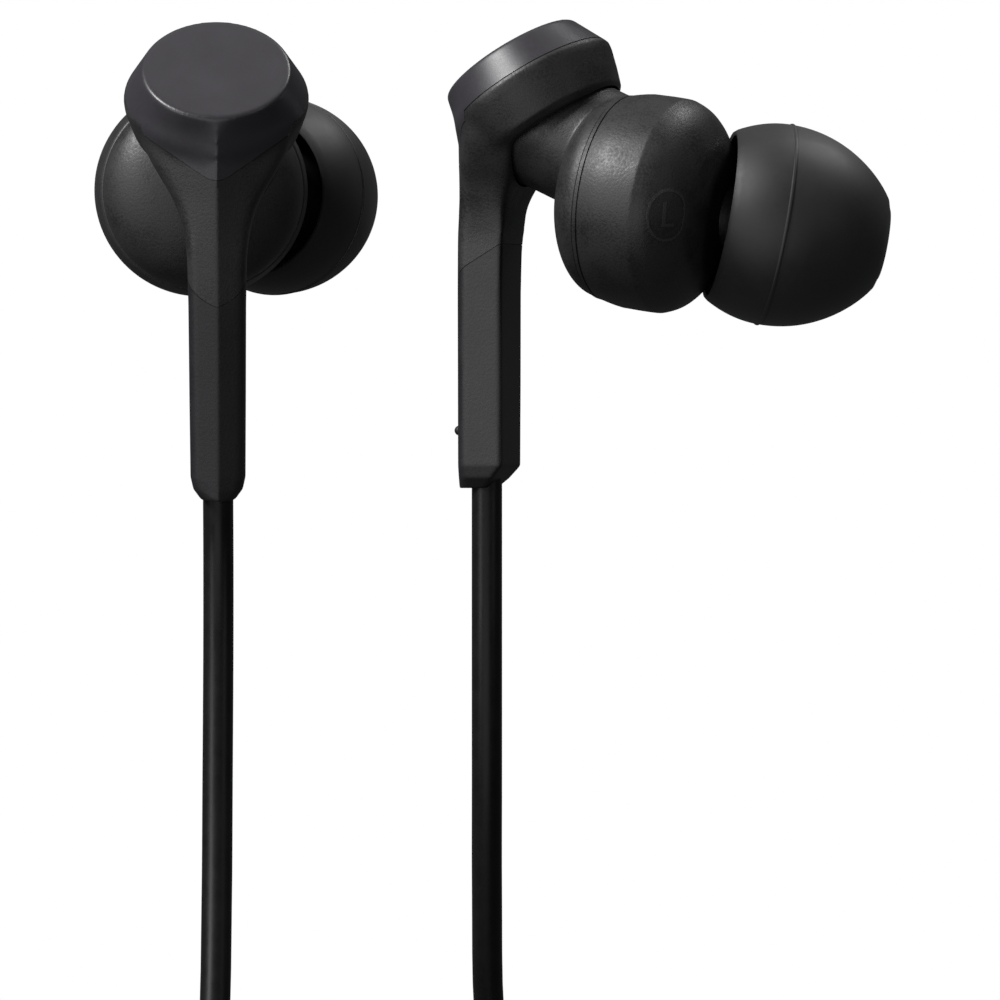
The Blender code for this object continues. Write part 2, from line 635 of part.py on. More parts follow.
# ---------------------------------------------------------------- driver
def make_driver(prefix, root, cone, frame):
    """Moving-coil driver on the housing's axis: a pot with its magnet, and the diaphragm with its coil."""
    rim = DRIVER_BORE - SEAT_GAP
    pot_floor = DRIVER_BACK + DRIVER_WALL
    pot_top = pot_floor + MAGNET_HEIGHT + PLATE_HEIGHT
    basket = [
        (0.0, pot_floor),
        (POT_RADIUS, pot_floor),
        (POT_RADIUS, pot_top),
        (rim - DRIVER_WALL, pot_top),
        (rim - DRIVER_WALL, DRIVER_FRONT),
        (rim, DRIVER_FRONT),
        (rim, pot_top - DRIVER_WALL),
        (POT_RADIUS + DRIVER_WALL, pot_top - DRIVER_WALL),
        (POT_RADIUS + DRIVER_WALL, DRIVER_BACK),
        (0.0, DRIVER_BACK),
    ]
    turned(prefix + "_driver_basket", basket, STEEL, frame, root, MEDIUM)
    magnet = [(0.0, pot_floor + MAGNET_HEIGHT), (MAGNET_RADIUS, pot_floor + MAGNET_HEIGHT),
              (MAGNET_RADIUS, pot_floor), (0.0, pot_floor)]
    turned(prefix + "_magnet", magnet, MAGNET_METAL, frame, root, COARSE)
    plate_radius = MAGNET_RADIUS + GAP / 2
    plate = [(0.0, pot_top), (plate_radius, pot_top),
             (plate_radius, pot_top - PLATE_HEIGHT), (0.0, pot_top - PLATE_HEIGHT)]
    turned(prefix + "_pole_plate", plate, STEEL, frame, root, COARSE)
    coil_inner = plate_radius + COIL_CLEARANCE
    coil_top = pot_top + COIL_LENGTH / 2
    coil = [(coil_inner, coil_top), (coil_inner + COIL_WALL, coil_top),
            (coil_inner + COIL_WALL, coil_top - COIL_LENGTH), (coil_inner, coil_top - COIL_LENGTH)]
    turned(prefix + "_voice_coil", coil, COPPER, Matrix.Identity(4), cone, COARSE, ring=True)
    low = coil_top + GAP / 2
    edge = rim - DRIVER_WALL - SEAT_GAP
    high = low + DIAPHRAGM_WALL
    skin = [(0.0, high + DIAPHRAGM_RISE), (coil_inner * 0.6, high + DIAPHRAGM_RISE * 0.75), (coil_inner, high),
            (coil_inner + COIL_WALL, high), ((coil_inner + edge) / 2, high + DIAPHRAGM_RISE / 2), (edge, high)]
    under = [(radius, height - DIAPHRAGM_WALL) for radius, height in reversed(skin)]
    turned(prefix + "_diaphragm", [*skin, *under], FILM, Matrix.Identity(4), cone, MEDIUM)
    sheet = bmesh.new()
    bmesh.ops.create_cube(sheet, size=1.0)
    bmesh.ops.scale(sheet, vec=(BOARD_WIDTH, BOARD_HEIGHT, BOARD_THICKNESS), verts=sheet.verts)
    board = bpy.data.meshes.new(prefix + "_terminal_board")
    sheet.to_mesh(board)
    sheet.free()
    plate = finish(bpy.data.objects.new(prefix + "_terminal_board", board), BOARD_GREEN, root)
    plate.matrix_local = frame @ Matrix.Translation((0.0, 0.0, DRIVER_BACK - GAP / 2 - BOARD_THICKNESS / 2))


# ---------------------------------------------------------------- one earphone
def stand(turn, lean, origin):
    return Matrix.Translation(origin) @ Matrix.Rotation(lean, 4, "X") @ Matrix.Rotation(turn, 4, "Z")


def empty(name, parent, frame):
    made = bpy.data.objects.new(name, None)
    PARTS.objects.link(made)
    made.parent = parent
    made.matrix_local = frame
    return made


def make_leads(prefix, root, housing_frame):
    """The two signal wires, run side by side from the knot to the driver's terminals."""
    board = housing_frame @ Vector((0.0, 0.0, DRIVER_BACK - BOARD_THICKNESS - CORD_GAP - LEAD_RADIUS))
    route = [
        (0.0, 0.0, KNOT_PLACE + KNOT_LENGTH + GAP),
        LEAD_LOW,
        LEAD_LOW.lerp(LEAD_HIGH, 0.5),
        LEAD_HIGH,
        LEAD_HIGH + (LEAD_HIGH - LEAD_LOW).normalized() * NECK_RADIUS * 0.3,
        Vector(NECK_POINT) - NECK_ALONG * NECK_RADIUS * 0.5,
        Vector(NECK_POINT) + NECK_ALONG * NECK_REACH * 0.45,
        board,
    ]
    tube(prefix + "_lead_wires", smooth_route(route, 3), LEAD_RADIUS, COPPER, root, 1)


def make_earphone(prefix, side, frame):
    """side is 1 for the right ear and -1 for the left. Its own frame is described at the top."""
    root = empty(prefix + "_earphone", None, frame)
    housing_frame = on_axis(mirrored(HOUSING_CENTRE, side), heading(HOUSING_TURN, HOUSING_FALL, side))
    tip_frame = on_axis(mirrored(TIP_RIM_CENTRE, side), heading(TIP_TURN, TIP_FALL, side))
    make_head(prefix, root)
    make_bushing(prefix, root, with_dot=side < 0)
    make_rear_housing(prefix, root, housing_frame)
    make_front_housing(prefix, root, housing_frame, tip_frame)
    make_nozzle_mesh(prefix, root, tip_frame)
    make_eartip(prefix, empty(prefix + "_eartip_pull", root, tip_frame), Matrix.Identity(4))
    cone = empty(prefix + "_diaphragm_stroke", root, housing_frame)
    make_driver(prefix, root, cone, housing_frame)
    knot = [
        (0.0, KNOT_PLACE + KNOT_LENGTH),
        (KNOT_RADIUS * 0.7, KNOT_PLACE + KNOT_LENGTH),
        (KNOT_RADIUS, KNOT_PLACE + KNOT_LENGTH * 0.75),
        (KNOT_RADIUS, KNOT_PLACE + KNOT_LENGTH * 0.25),
        (KNOT_RADIUS * 0.85, KNOT_PLACE),
        (0.0, KNOT_PLACE),
    ]
    turned(prefix + "_cord_knot", knot, CORD_BLACK, Matrix.Identity(4), root, COARSE)
    make_leads(prefix, root, housing_frame)


LEFT_TIP_FRONT = mirrored(TIP_RIM_CENTRE, -1) + heading(TIP_TURN, TIP_FALL, -1) * TIP_LENGTH
LEFT_ORIGIN = -(Matrix.Rotation(LEFT_TURN, 3, "Z") @ LEFT_TIP_FRONT)
RIGHT_ORIGIN = LEFT_ORIGIN + Vector(RIGHT_FROM_LEFT)
LEFT_FRAME = stand(LEFT_TURN, 0.0, LEFT_ORIGIN)
RIGHT_FRAME = stand(RIGHT_TURN, RIGHT_LEAN, RIGHT_ORIGIN)
make_earphone("left", -1, LEFT_FRAME)
make_earphone("right", 1, RIGHT_FRAME)

# ---------------------------------------------------------------- put-away cord: three hanks, tied together
PITCH = 2 * CORD_RADIUS + HANK_GAP
BUNDLE = LEFT_ORIGIN + Vector(RIGHT_FROM_LEFT) / 2
BUNDLE.z = LEFT_ORIGIN.z
RUN_TOP = BUNDLE.z + HANK_TOP


def share_smooth(value):
    value = min(max(value, 0.0), 1.0)
    return value * value * (3 - 2 * value)


def hank(turns, first_layer, start, side, run):
    """Centre line of a hank: it spirals in and out, a layer at a time, and changes layer along a run.
    start is where on the loop it begins: 0 is the foot of the left run, and 0.5 the top of the right one."""
    bounds = [sum(turns[:count]) for count in range(len(turns) + 1)]
    half = run / 2
    points = []
    for step in range(round(bounds[-1] * POINTS_A_TURN) + 1):
        turn = step / POINTS_A_TURN
        layer = max(i for i in range(len(turns)) if turn >= bounds[i] or i == 0)
        fold = HANK_INNER + PITCH * turns[0]
        for index, bound in enumerate(bounds[:-1]):
            passed = min(max(turn - bound, 0.0), turns[index])
            fold += PITCH * passed * (-1 if index % 2 == 0 else 1)
        climb = sum(share_smooth((turn - bound) * 4 + 0.5) for bound in bounds[1:-1])
        part, along = divmod(((turn + start) % 1.0) * 4, 1.0)
        if part == 0:
            x, z = -fold, (2 * along - 1) * half
        elif part == 1:
            x, z = -fold * math.cos(math.pi * along), half + fold * math.sin(math.pi * along)
        elif part == 2:
            x, z = fold, (1 - 2 * along) * half
        else:
            x, z = fold * math.cos(math.pi * along), -half - fold * math.sin(math.pi * along)
        if abs(z) < half:
            x -= math.copysign(HANK_WAIST * (1 + math.cos(math.pi * z / half)) / 2, x)
        depth = (first_layer + climb * (1 if first_layer < 0 or len(turns) > 2 else -1)) * PITCH
        points.append(BUNDLE + Vector((side * x, depth, HANK_TOP - half + z)))
    return points


def length_of(points):
    return sum((b - a).length for a, b in zip(points, points[1:]))


def least_gap(points, skip):
    """Smallest space between a cord and itself, for points at least skip apart along it."""
    least = math.inf
    for i, a in enumerate(points[:-1]):
        for j in range(i + skip, len(points) - 1):
            b = points[j]
            if abs(a.y - b.y) < 2 * PITCH and abs(a.x - b.x) < 3 * PITCH:
                least = min(least, segment_gap(a, points[i + 1], b, points[j + 1]))
    return least - 2 * CORD_RADIUS


def segment_gap(a, b, c, d):
    """Distance between two short straight stretches, sampled along both."""
    shares = (0.0, 0.25, 0.5, 0.75, 1.0)
    return min((a.lerp(b, s) - c.lerp(d, t)).length for s in shares for t in shares)


# ---------------------------------------------------------------- the cords' free stretches
def world(frame, x, y, z):
    return frame @ Vector((x, y, z))


def upper_branch(frame, side, hank_start):
    """From inside the bushing, straight down past the view's edge, and then over to its hank."""
    tail = (frame @ Vector((0.0, 0.0, -1.0))) - (frame @ Vector())
    leave = frame @ Vector()
    depth = hank_start.y - leave.y
    outward = hank_start.x - leave.x
    places = [
        world(frame, 0.0, 0.0, KNOT_PLACE - GAP),
        world(frame, 0.0, 0.0, 0.0),
        leave + tail * 0.004,
        Vector((leave.x, leave.y + tail.y * 0.004 + depth * 0.02, leave.z - 0.0100)),
        Vector((leave.x, leave.y + depth * 0.16, leave.z - 0.0180)),
        Vector((leave.x, leave.y + depth * 0.42, leave.z - 0.0255)),
        Vector((leave.x + outward * 0.10, leave.y + depth * 0.72, leave.z - 0.0330)),
        Vector((leave.x + outward * 0.75, leave.y + depth * 0.96, leave.z - 0.0400)),
        hank_start,
    ]
    return smooth_route(places, 2)


def lower_branch(side, hank_end):
    """From the hank's last run, in under its folds, through the slider and into the splitter."""
    foot = hank_end.z
    depth = hank_end.y - BUNDLE.y
    in_slider = side * TWIN_SPREAD
    slider_top = SPLITTER_DROP - CORD_GAP - SLIDER_HEIGHT - SLIDER_TRAVEL

    def at(x, share, drop):
        return Vector((BUNDLE.x + x, BUNDLE.y + depth * share, foot - drop))

    places = [
        hank_end,
        at(hank_end.x - BUNDLE.x - side * 0.0003, 0.98, 0.0040),
        at(side * 0.0066, 0.92, 0.0100),
        at(side * 0.0038, 0.50, 0.0138),
        at(side * 0.0016, 0.07, 0.0162),
        at(in_slider, 0.0, slider_top),
        at(in_slider, 0.0, slider_top + SLIDER_HEIGHT / 2),
    ]
    return [*smooth_route(places, 2), at(in_slider, 0.0, SPLITTER_DROP + SPLITTER_SOCKET - GAP)]


def main_return(foot, hank_start):
    """From the splitter's foot, round a hanging loop and up to the main hank."""
    leave = foot - SPLITTER_DROP - SPLITTER_LENGTH
    across = hank_start.x - BUNDLE.x
    depth = hank_start.y - BUNDLE.y

    def at(x_share, y_share, z):
        return Vector((BUNDLE.x + across * x_share, BUNDLE.y + depth * y_share, z))

    low = leave - LOOP_DROP
    places = [
        at(0.0, 0.0, leave + SPLITTER_SOCKET - GAP),
        at(0.0, 0.0, leave),
        at(0.0, 0.04, low),
        at(0.17, 0.22, low - 0.0038),
        at(0.5, 0.50, low - 0.0053),
        at(0.83, 0.78, low - 0.0038),
        at(1.0, 0.96, low),
        at(1.0, 1.0, leave + 0.0010),
    ]
    return [*smooth_route(places, 2), hank_start]


def plug_drop(hank_end):
    """From the main hank's last run straight down into the plug."""
    return [hank_end - Vector((0, 0, fall)) for fall in (0.0, PLUG_DROP / 2, PLUG_DROP, PLUG_DROP + PLUG_SOCKET - GAP)]


SPLITTER_SOCKET = 0.0025  # how far a cord runs into the splitter
PLUG_SOCKET = 0.0040  # and into the plug's strain relief


def branch_parts(side, frame, run):
    middle = hank(BRANCH_TURNS, side * 3.5, 0.5, side, run)
    return upper_branch(frame, side, middle[0]), middle, lower_branch(side, middle[-1])


def main_parts(run, foot):
    middle = hank(MAIN_TURNS, -1.5, 0.0, 1, run)
    drop = Vector((0.0, 0.0, foot - middle[0].z))
    middle = [point + drop for point in middle]
    return main_return(foot, middle[0]), middle, plug_drop(middle[-1])


def run_for(length, parts_at):
    """The run that gives a cord its whole length, which grows evenly with the run."""
    short, long = 0.020, 0.040
    low = sum(length_of(part) for part in parts_at(short))
    high = sum(length_of(part) for part in parts_at(long))
    return short + (long - short) * (length - low) / (high - low)


def trimmed(points, start, end):
    """The same stretch with its two ends drawn back, to leave the gap that touching pieces keep."""
    first = (points[1] - points[0]).normalized() * start
    last = (points[-2] - points[-1]).normalized() * end
    return [points[0] + first, *points[1:-1], points[-1] + last]


BRANCH_RUN = run_for(BRANCH_LENGTH, lambda run: branch_parts(1, LEFT_FRAME, run))
FOOT = RUN_TOP - BRANCH_RUN
MAIN_RUN = run_for(MAIN_LENGTH, lambda run: main_parts(run, FOOT))


def make_cord(name, parts, labels):
    """One node for each stretch of a cord and for its hank, with the whole length in them."""
    last = len(parts) - 1
    for index, (points, label) in enumerate(zip(parts, labels)):
        start = 0.0 if index == 0 else CORD_GAP / 2
        end = 0.0 if index == last else CORD_GAP / 2
        is_hank = label == "hank"
        tube(name + "_" + label, trimmed(points, start, end), CORD_RADIUS, CORD_BLACK, None, 1 if is_hank else 2)
        if is_hank:
            print(f"{name}: hank's least gap to itself {least_gap(points, POINTS_A_TURN // 2) * 1000:.2f} mm")
    total = sum(length_of(points) for points in parts)
    print(f"{name}: {total:.4f} m in all")


# In the bundle, side is 1 for the left ear's cord, which lies towards +X, and -1 for the right ear's.
make_cord("left_cord", branch_parts(1, LEFT_FRAME, BRANCH_RUN), ("upper", "hank", "lower"))
make_cord("right_cord", branch_parts(-1, RIGHT_FRAME, BRANCH_RUN), ("upper", "hank", "lower"))
MAIN_PARTS = main_parts(MAIN_RUN, FOOT)
make_cord("main_cord", MAIN_PARTS, ("upper", "hank", "lower"))


# ---------------------------------------------------------------- what sits on the cords
def oval(half_width, half_depth, z, steps=20):
    """One level of a piece with flat faces and rounded ends."""
    points = []
    for step in range(steps):
        angle = 2 * math.pi * step / steps
        c, s = math.cos(angle), math.sin(angle)
        x = half_width * math.copysign(abs(c) ** 0.8, c)
        y = half_depth * math.copysign(abs(s) ** 0.8, s)
        points.append(Vector((x, y, z)))
    return points


def bore_along(obj, name, x, low, high, radius, frame):
    """Cuts a round hole in obj along Z at x from the middle line."""
    place = frame @ Matrix.Translation((x, 0.0, 0.0))
    boolean(obj, solid_cutter(name, radius, low, high, place, None, COARSE), "DIFFERENCE")


def make_tie():
    """Flat band round the three hanks at their waist."""
    widest = max(HANK_INNER + PITCH * BRANCH_TURNS[0], HANK_INNER + PITCH * MAIN_TURNS[-1])
    half_x = widest - HANK_WAIST + CORD_RADIUS + CORD_GAP
    half_y = 3.5 * PITCH + CORD_RADIUS + CORD_GAP
    loops = []
    for grow in (0.0, TIE_THICKNESS):
        x, y = half_x + grow, half_y + grow
        loops.append(rounded([(x, y), (-x, y), (-x, -y), (x, -y)], TIE_CORNER + grow, 4))
    middle = Matrix.Translation((BUNDLE.x, BUNDLE.y, RUN_TOP - BRANCH_RUN / 2))
    tie = prism("cord_tie", loops, TIE_WIDTH / 2, SMOOTH_BLACK, middle)
    return as_mesh(tie)


def make_slider():
    bottom = FOOT - SPLITTER_DROP + CORD_GAP
    soft = SLIDER_HALF_DEPTH * 0.25
    rings = [
        oval(SLIDER_HALF_WIDTH - soft, SLIDER_HALF_DEPTH - soft, 0.0),
        oval(SLIDER_HALF_WIDTH, SLIDER_HALF_DEPTH, soft),
        oval(SLIDER_HALF_WIDTH, SLIDER_HALF_DEPTH, SLIDER_HEIGHT - soft),
        oval(SLIDER_HALF_WIDTH - soft, SLIDER_HALF_DEPTH - soft, SLIDER_HEIGHT),
    ]
    frame = Matrix.Translation((BUNDLE.x, BUNDLE.y, bottom))
    slider = loft("cord_slider", rings, SMOOTH_BLACK)
    slider.matrix_local = frame
    for label, x in (("left", TWIN_SPREAD), ("right", -TWIN_SPREAD)):
        bore_along(slider, "slider_bore_" + label, x, -SLIDER_HEIGHT, 2 * SLIDER_HEIGHT, CORD_RADIUS + GAP, frame)


def make_splitter():
    soft = SPLITTER_HALF_DEPTH * 0.2
    relief_radius = CORD_RADIUS + 3 * SEAT_GAP
    rings = [
        oval(relief_radius, relief_radius, -SPLITTER_LENGTH),
        oval(relief_radius * 1.1, relief_radius * 1.1, -SPLITTER_LENGTH + SPLITTER_RELIEF * 0.7),
        oval(SPLITTER_HALF_WIDTH * 0.72, SPLITTER_HALF_DEPTH * 0.9, -SPLITTER_LENGTH + SPLITTER_RELIEF),
        oval(SPLITTER_HALF_WIDTH, SPLITTER_HALF_DEPTH, -SPLITTER_LENGTH / 3),
        oval(SPLITTER_HALF_WIDTH, SPLITTER_HALF_DEPTH, -soft),
        oval(SPLITTER_HALF_WIDTH - soft, SPLITTER_HALF_DEPTH - soft, 0.0),
    ]
    frame = Matrix.Translation((BUNDLE.x, BUNDLE.y, FOOT - SPLITTER_DROP))
    splitter = loft("cord_splitter", rings, SMOOTH_BLACK)
    splitter.matrix_local = frame
    hole = CORD_RADIUS + GAP
    for label, x in (("left", TWIN_SPREAD), ("right", -TWIN_SPREAD)):
        bore_along(splitter, "splitter_bore_" + label, x, -SPLITTER_SOCKET, SPLITTER_SOCKET, hole, frame)
    foot = -SPLITTER_LENGTH
    bore_along(splitter, "splitter_bore_main", 0.0, foot - SPLITTER_SOCKET, foot + SPLITTER_SOCKET, hole, frame)


def make_plug(top):
    """Straight stereo plug, hanging with its contacts down. top is where the cord enters its relief."""
    frame = Matrix.Translation(top)
    hole = CORD_RADIUS + GAP
    neck = RELIEF_RADIUS
    relief = [
        (hole, 0.0),
        (neck - SEAT_GAP, 0.0),
        (neck, -RELIEF_LENGTH * 0.3),
        (neck, -RELIEF_LENGTH * 0.8),
        (neck + SEAT_GAP, -RELIEF_LENGTH),
        (0.0, -RELIEF_LENGTH),
        (0.0, -PLUG_SOCKET),
        (hole, -PLUG_SOCKET),
    ]
    turned("plug_relief", relief[6:] + relief[:6], SMOOTH_BLACK, frame, None, MEDIUM)
    soft = GRIP_RADIUS * 0.25
    high, low = -RELIEF_LENGTH - GAP, -RELIEF_LENGTH - GAP - GRIP_LENGTH
    grip = [
        (0.0, high),
        (GRIP_RADIUS - soft, high),
        (GRIP_RADIUS, high - soft),
        (GRIP_RADIUS, low + soft / 2),
        (GRIP_RADIUS - soft / 2, low),
        (0.0, low),
    ]
    turned("plug_grip", grip, SMOOTH_BLACK, frame, None, MEDIUM)
    place = low - GAP / 2
    stack = [
        ("plug_sleeve_contact", SLEEVE_LENGTH, JACK_RADIUS, GOLD),
        ("plug_upper_insulator", INSULATOR_LENGTH, INSULATOR_RADIUS, RING_BLACK),
        ("plug_ring_contact", RING_LENGTH, JACK_RADIUS, GOLD),
        ("plug_lower_insulator", INSULATOR_LENGTH, INSULATOR_RADIUS, RING_BLACK),
    ]
    for name, length, radius, paint in stack:
        disc = [(0.0, place), (radius, place), (radius, place - length), (0.0, place - length)]
        turned(name, disc, paint, frame, None, COARSE)
        place -= length + GAP / 2
    waist = JACK_RADIUS * 0.62
    tip = [
        (0.0, place),
        (waist, place),
        (JACK_RADIUS * 0.95, place - TIP_CONTACT_LENGTH * 0.38),
        (JACK_RADIUS * 0.95, place - TIP_CONTACT_LENGTH * 0.5),
        (JACK_RADIUS * 0.35, place - TIP_CONTACT_LENGTH * 0.95),
        (0.0, place - TIP_CONTACT_LENGTH),
    ]
    turned("plug_tip_contact", tip, GOLD, frame, None, COARSE)


make_tie()
make_slider()
make_splitter()
make_plug(MAIN_PARTS[1][-1] - Vector((0.0, 0.0, PLUG_DROP)))
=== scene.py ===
"""Wired earphones in their dressed form: two in-ear earphones held side by side, their cords hanging
down to tied hanks, a slider, a splitter and a plug. Metres, +Z up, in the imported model's own frame.
"""

import math

import bpy
from mathutils import Matrix, Vector


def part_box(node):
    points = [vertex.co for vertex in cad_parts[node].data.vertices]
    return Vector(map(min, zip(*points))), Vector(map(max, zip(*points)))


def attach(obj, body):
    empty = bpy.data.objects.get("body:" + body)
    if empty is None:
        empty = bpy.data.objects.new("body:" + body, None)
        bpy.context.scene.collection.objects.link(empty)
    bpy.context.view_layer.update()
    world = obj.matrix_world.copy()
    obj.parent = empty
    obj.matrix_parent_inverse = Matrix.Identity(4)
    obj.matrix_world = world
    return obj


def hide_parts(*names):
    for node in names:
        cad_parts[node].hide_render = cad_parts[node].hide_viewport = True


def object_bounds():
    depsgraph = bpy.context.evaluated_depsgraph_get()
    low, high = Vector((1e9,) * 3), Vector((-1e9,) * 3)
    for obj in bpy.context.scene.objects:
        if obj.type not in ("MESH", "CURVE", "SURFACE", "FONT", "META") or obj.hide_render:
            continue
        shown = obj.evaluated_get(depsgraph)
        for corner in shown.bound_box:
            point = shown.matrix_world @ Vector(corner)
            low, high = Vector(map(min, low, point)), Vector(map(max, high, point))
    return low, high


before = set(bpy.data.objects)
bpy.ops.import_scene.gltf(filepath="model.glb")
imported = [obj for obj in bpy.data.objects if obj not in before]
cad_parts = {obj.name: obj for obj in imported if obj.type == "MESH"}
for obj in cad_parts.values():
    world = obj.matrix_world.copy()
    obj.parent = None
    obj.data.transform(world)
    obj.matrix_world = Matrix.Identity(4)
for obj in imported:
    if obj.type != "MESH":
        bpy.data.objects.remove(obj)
cad_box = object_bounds()
bpy.ops.object.select_all(action="DESELECT")

# ---------------------------------------------------------------- camera
# A long lens, square to the two earpieces and level with their cord exits, so that the
# stems stand upright in the picture and the two of them fill it.
VIEW_MIDDLE = Vector((-0.02385, 0.0025, -0.01594))
VIEW_WIDTH = 0.0625
LENS, SENSOR = 400, 36
bpy.ops.object.camera_add(rotation=(math.radians(90), 0, 0))
camera = bpy.context.object
camera.name = "camera"
camera.data.lens, camera.data.sensor_width = LENS, SENSOR
camera.data.clip_start, camera.data.clip_end = 0.02, 12
camera.location = VIEW_MIDDLE - Vector((0, VIEW_WIDTH * LENS / SENSOR, 0))
bpy.context.scene.camera = camera
bpy.context.scene.view_settings.view_transform = "Standard"

# ---------------------------------------------------------------- floor and studio light
# A round pale floor just under the hanging plug, in a white room. The key softbox stands high on
# the left, with a taller one below it. Weak ones fill from above, the front, the right and behind.
FLOOR_RADIUS, FLOOR_UNDER_PLUG = 1.9, 0.004
bpy.ops.mesh.primitive_circle_add(vertices=128, radius=FLOOR_RADIUS, fill_type="NGON",
                                  location=(VIEW_MIDDLE.x, VIEW_MIDDLE.y, cad_box[0][2] - FLOOR_UNDER_PLUG))
floor = bpy.context.object
floor.name = "pale_floor"
floor.visible_diffuse = floor.visible_glossy = False
pale = bpy.data.materials.new("pale_floor_paint")
pale.use_nodes = True
nodes, links = pale.node_tree.nodes, pale.node_tree.links
shader = nodes["Principled BSDF"]
shader.inputs["Roughness"].default_value = 0.9
shader.inputs["Emission Color"].default_value = (1, 1, 1, 1)
shader.inputs["Emission Strength"].default_value = 0.42
mottle, tones = nodes.new("ShaderNodeTexNoise"), nodes.new("ShaderNodeValToRGB")
place = nodes.new("ShaderNodeTexCoord")
mottle.inputs["Scale"].default_value = 9
tones.color_ramp.elements[0].color = (0.80, 0.80, 0.80, 1)
tones.color_ramp.elements[1].color = (0.83, 0.83, 0.83, 1)
links.new(place.outputs["Object"], mottle.inputs["Vector"])
links.new(mottle.outputs["Fac"], tones.inputs["Fac"])
links.new(tones.outputs["Color"], shader.inputs["Base Color"])
floor.data.materials.append(pale)

room = bpy.data.worlds.new("white_room")
bpy.context.scene.world = room
room.use_nodes = True
nodes, links = room.node_tree.nodes, room.node_tree.links
seen, cast = nodes["Background"], nodes.new("ShaderNodeBackground")
seen.inputs["Color"].default_value = (1, 1, 1, 1)
cast.inputs["Color"].default_value = (0.93, 0.95, 1, 1)
cast.inputs["Strength"].default_value = 0.07
path, choice = nodes.new("ShaderNodeLightPath"), nodes.new("ShaderNodeMixShader")
links.new(path.outputs["Is Camera Ray"], choice.inputs["Fac"])
links.new(cast.outputs["Background"], choice.inputs[1])
links.new(seen.outputs["Background"], choice.inputs[2])
links.new(choice.outputs["Shader"], nodes["World Output"].inputs["Surface"])

# name, place from the middle of the view, width, height, watts
for name, offset, width, height, watts in (
    ("softbox_key", (-0.47, -0.24, 0.50), 0.22, 0.26, 6.6),
    ("softbox_left", (-0.62, -0.50, 0.10), 0.30, 0.50, 1.5),
    ("softbox_above", (0.05, 0.22, 0.80), 0.45, 0.45, 0.35),
    ("softbox_front", (-0.10, -0.80, -0.22), 0.70, 0.50, 1.1),
    ("softbox_right", (0.62, -0.50, 0.15), 0.25, 0.40, 0.3),
    ("softbox_behind", (0.36, 0.25, 0.60), 0.24, 0.24, 1.6),
):
    bpy.ops.object.light_add(type="AREA", location=VIEW_MIDDLE + Vector(offset))
    lamp = bpy.context.object
    lamp.name = name
    lamp.rotation_euler = Vector(offset).to_track_quat("Z", "Y").to_euler()
    lamp.data.shape = "RECTANGLE"
    lamp.data.size, lamp.data.size_y = width, height
    lamp.data.energy = watts

# ---------------------------------------------------------------- cords
# Three limp round elastomer cords, 1.9 mm thick: one from each ear to the splitter and one
# from the splitter to the plug. The length below the earpieces is folded into three hanks.
CORD_RADIUS = 0.00095
LEFT_EXIT = Vector((-0.02466726, 0.00246142, -0.01519406))
RIGHT_EXIT = LEFT_EXIT + Vector((-0.0168, 0.0, -0.00056))
LEFT_FRAME = Matrix.Translation(LEFT_EXIT) @ Matrix.Rotation(math.radians(-112), 4, "Z")
RIGHT_FRAME = (Matrix.Translation(RIGHT_EXIT) @ Matrix.Rotation(math.radians(10), 4, "X")
               @ Matrix.Rotation(math.radians(1.5), 4, "Z"))
HANK_GAP, HANK_INNER, HANK_WAIST, HANK_TOP = 0.00055, 0.0057, 0.0014, -0.0448
PITCH = 2 * CORD_RADIUS + HANK_GAP
BUNDLE = Vector(((LEFT_EXIT.x + RIGHT_EXIT.x) / 2, LEFT_EXIT.y, LEFT_EXIT.z))
BRANCH_RUN, MAIN_RUN = 0.03210108, 0.03385061
FOOT = BUNDLE.z + HANK_TOP - BRANCH_RUN
TWIN_SPREAD = 0.00125
SPLITTER_DROP, SPLITTER_LENGTH, SPLITTER_SOCKET = 0.0260, 0.0120, 0.0025
SLIDER_HEIGHT = 0.0045
SLIDER_TOP = SPLITTER_DROP - 0.0003 - SLIDER_HEIGHT - 0.0030
LOOP_DROP, PLUG_DROP, PLUG_SOCKET = 0.0052, 0.0180, 0.0040
KNOT_PLACE = 0.0050
TURN_POINTS = 48


def smooth_route(places, steps=4):
    """Points on a smooth curve through places, steps of them between each two."""
    places = [Vector(place) for place in places]
    ends = [2 * places[0] - places[1], *places, 2 * places[-1] - places[-2]]
    points = []
    for before, start, end, after in zip(ends, ends[1:], ends[2:], ends[3:]):
        for step in range(steps):
            t = step / steps
            pull = (-t + 2 * t**2 - t**3, 2 - 5 * t**2 + 3 * t**3, t + 4 * t**2 - 3 * t**3, t**3 - t**2)
            points.append(0.5 * sum((w * p for w, p in zip(pull, (before, start, end, after))),
                                    Vector((0,) * len(start))))
    return [*points, places[-1]]


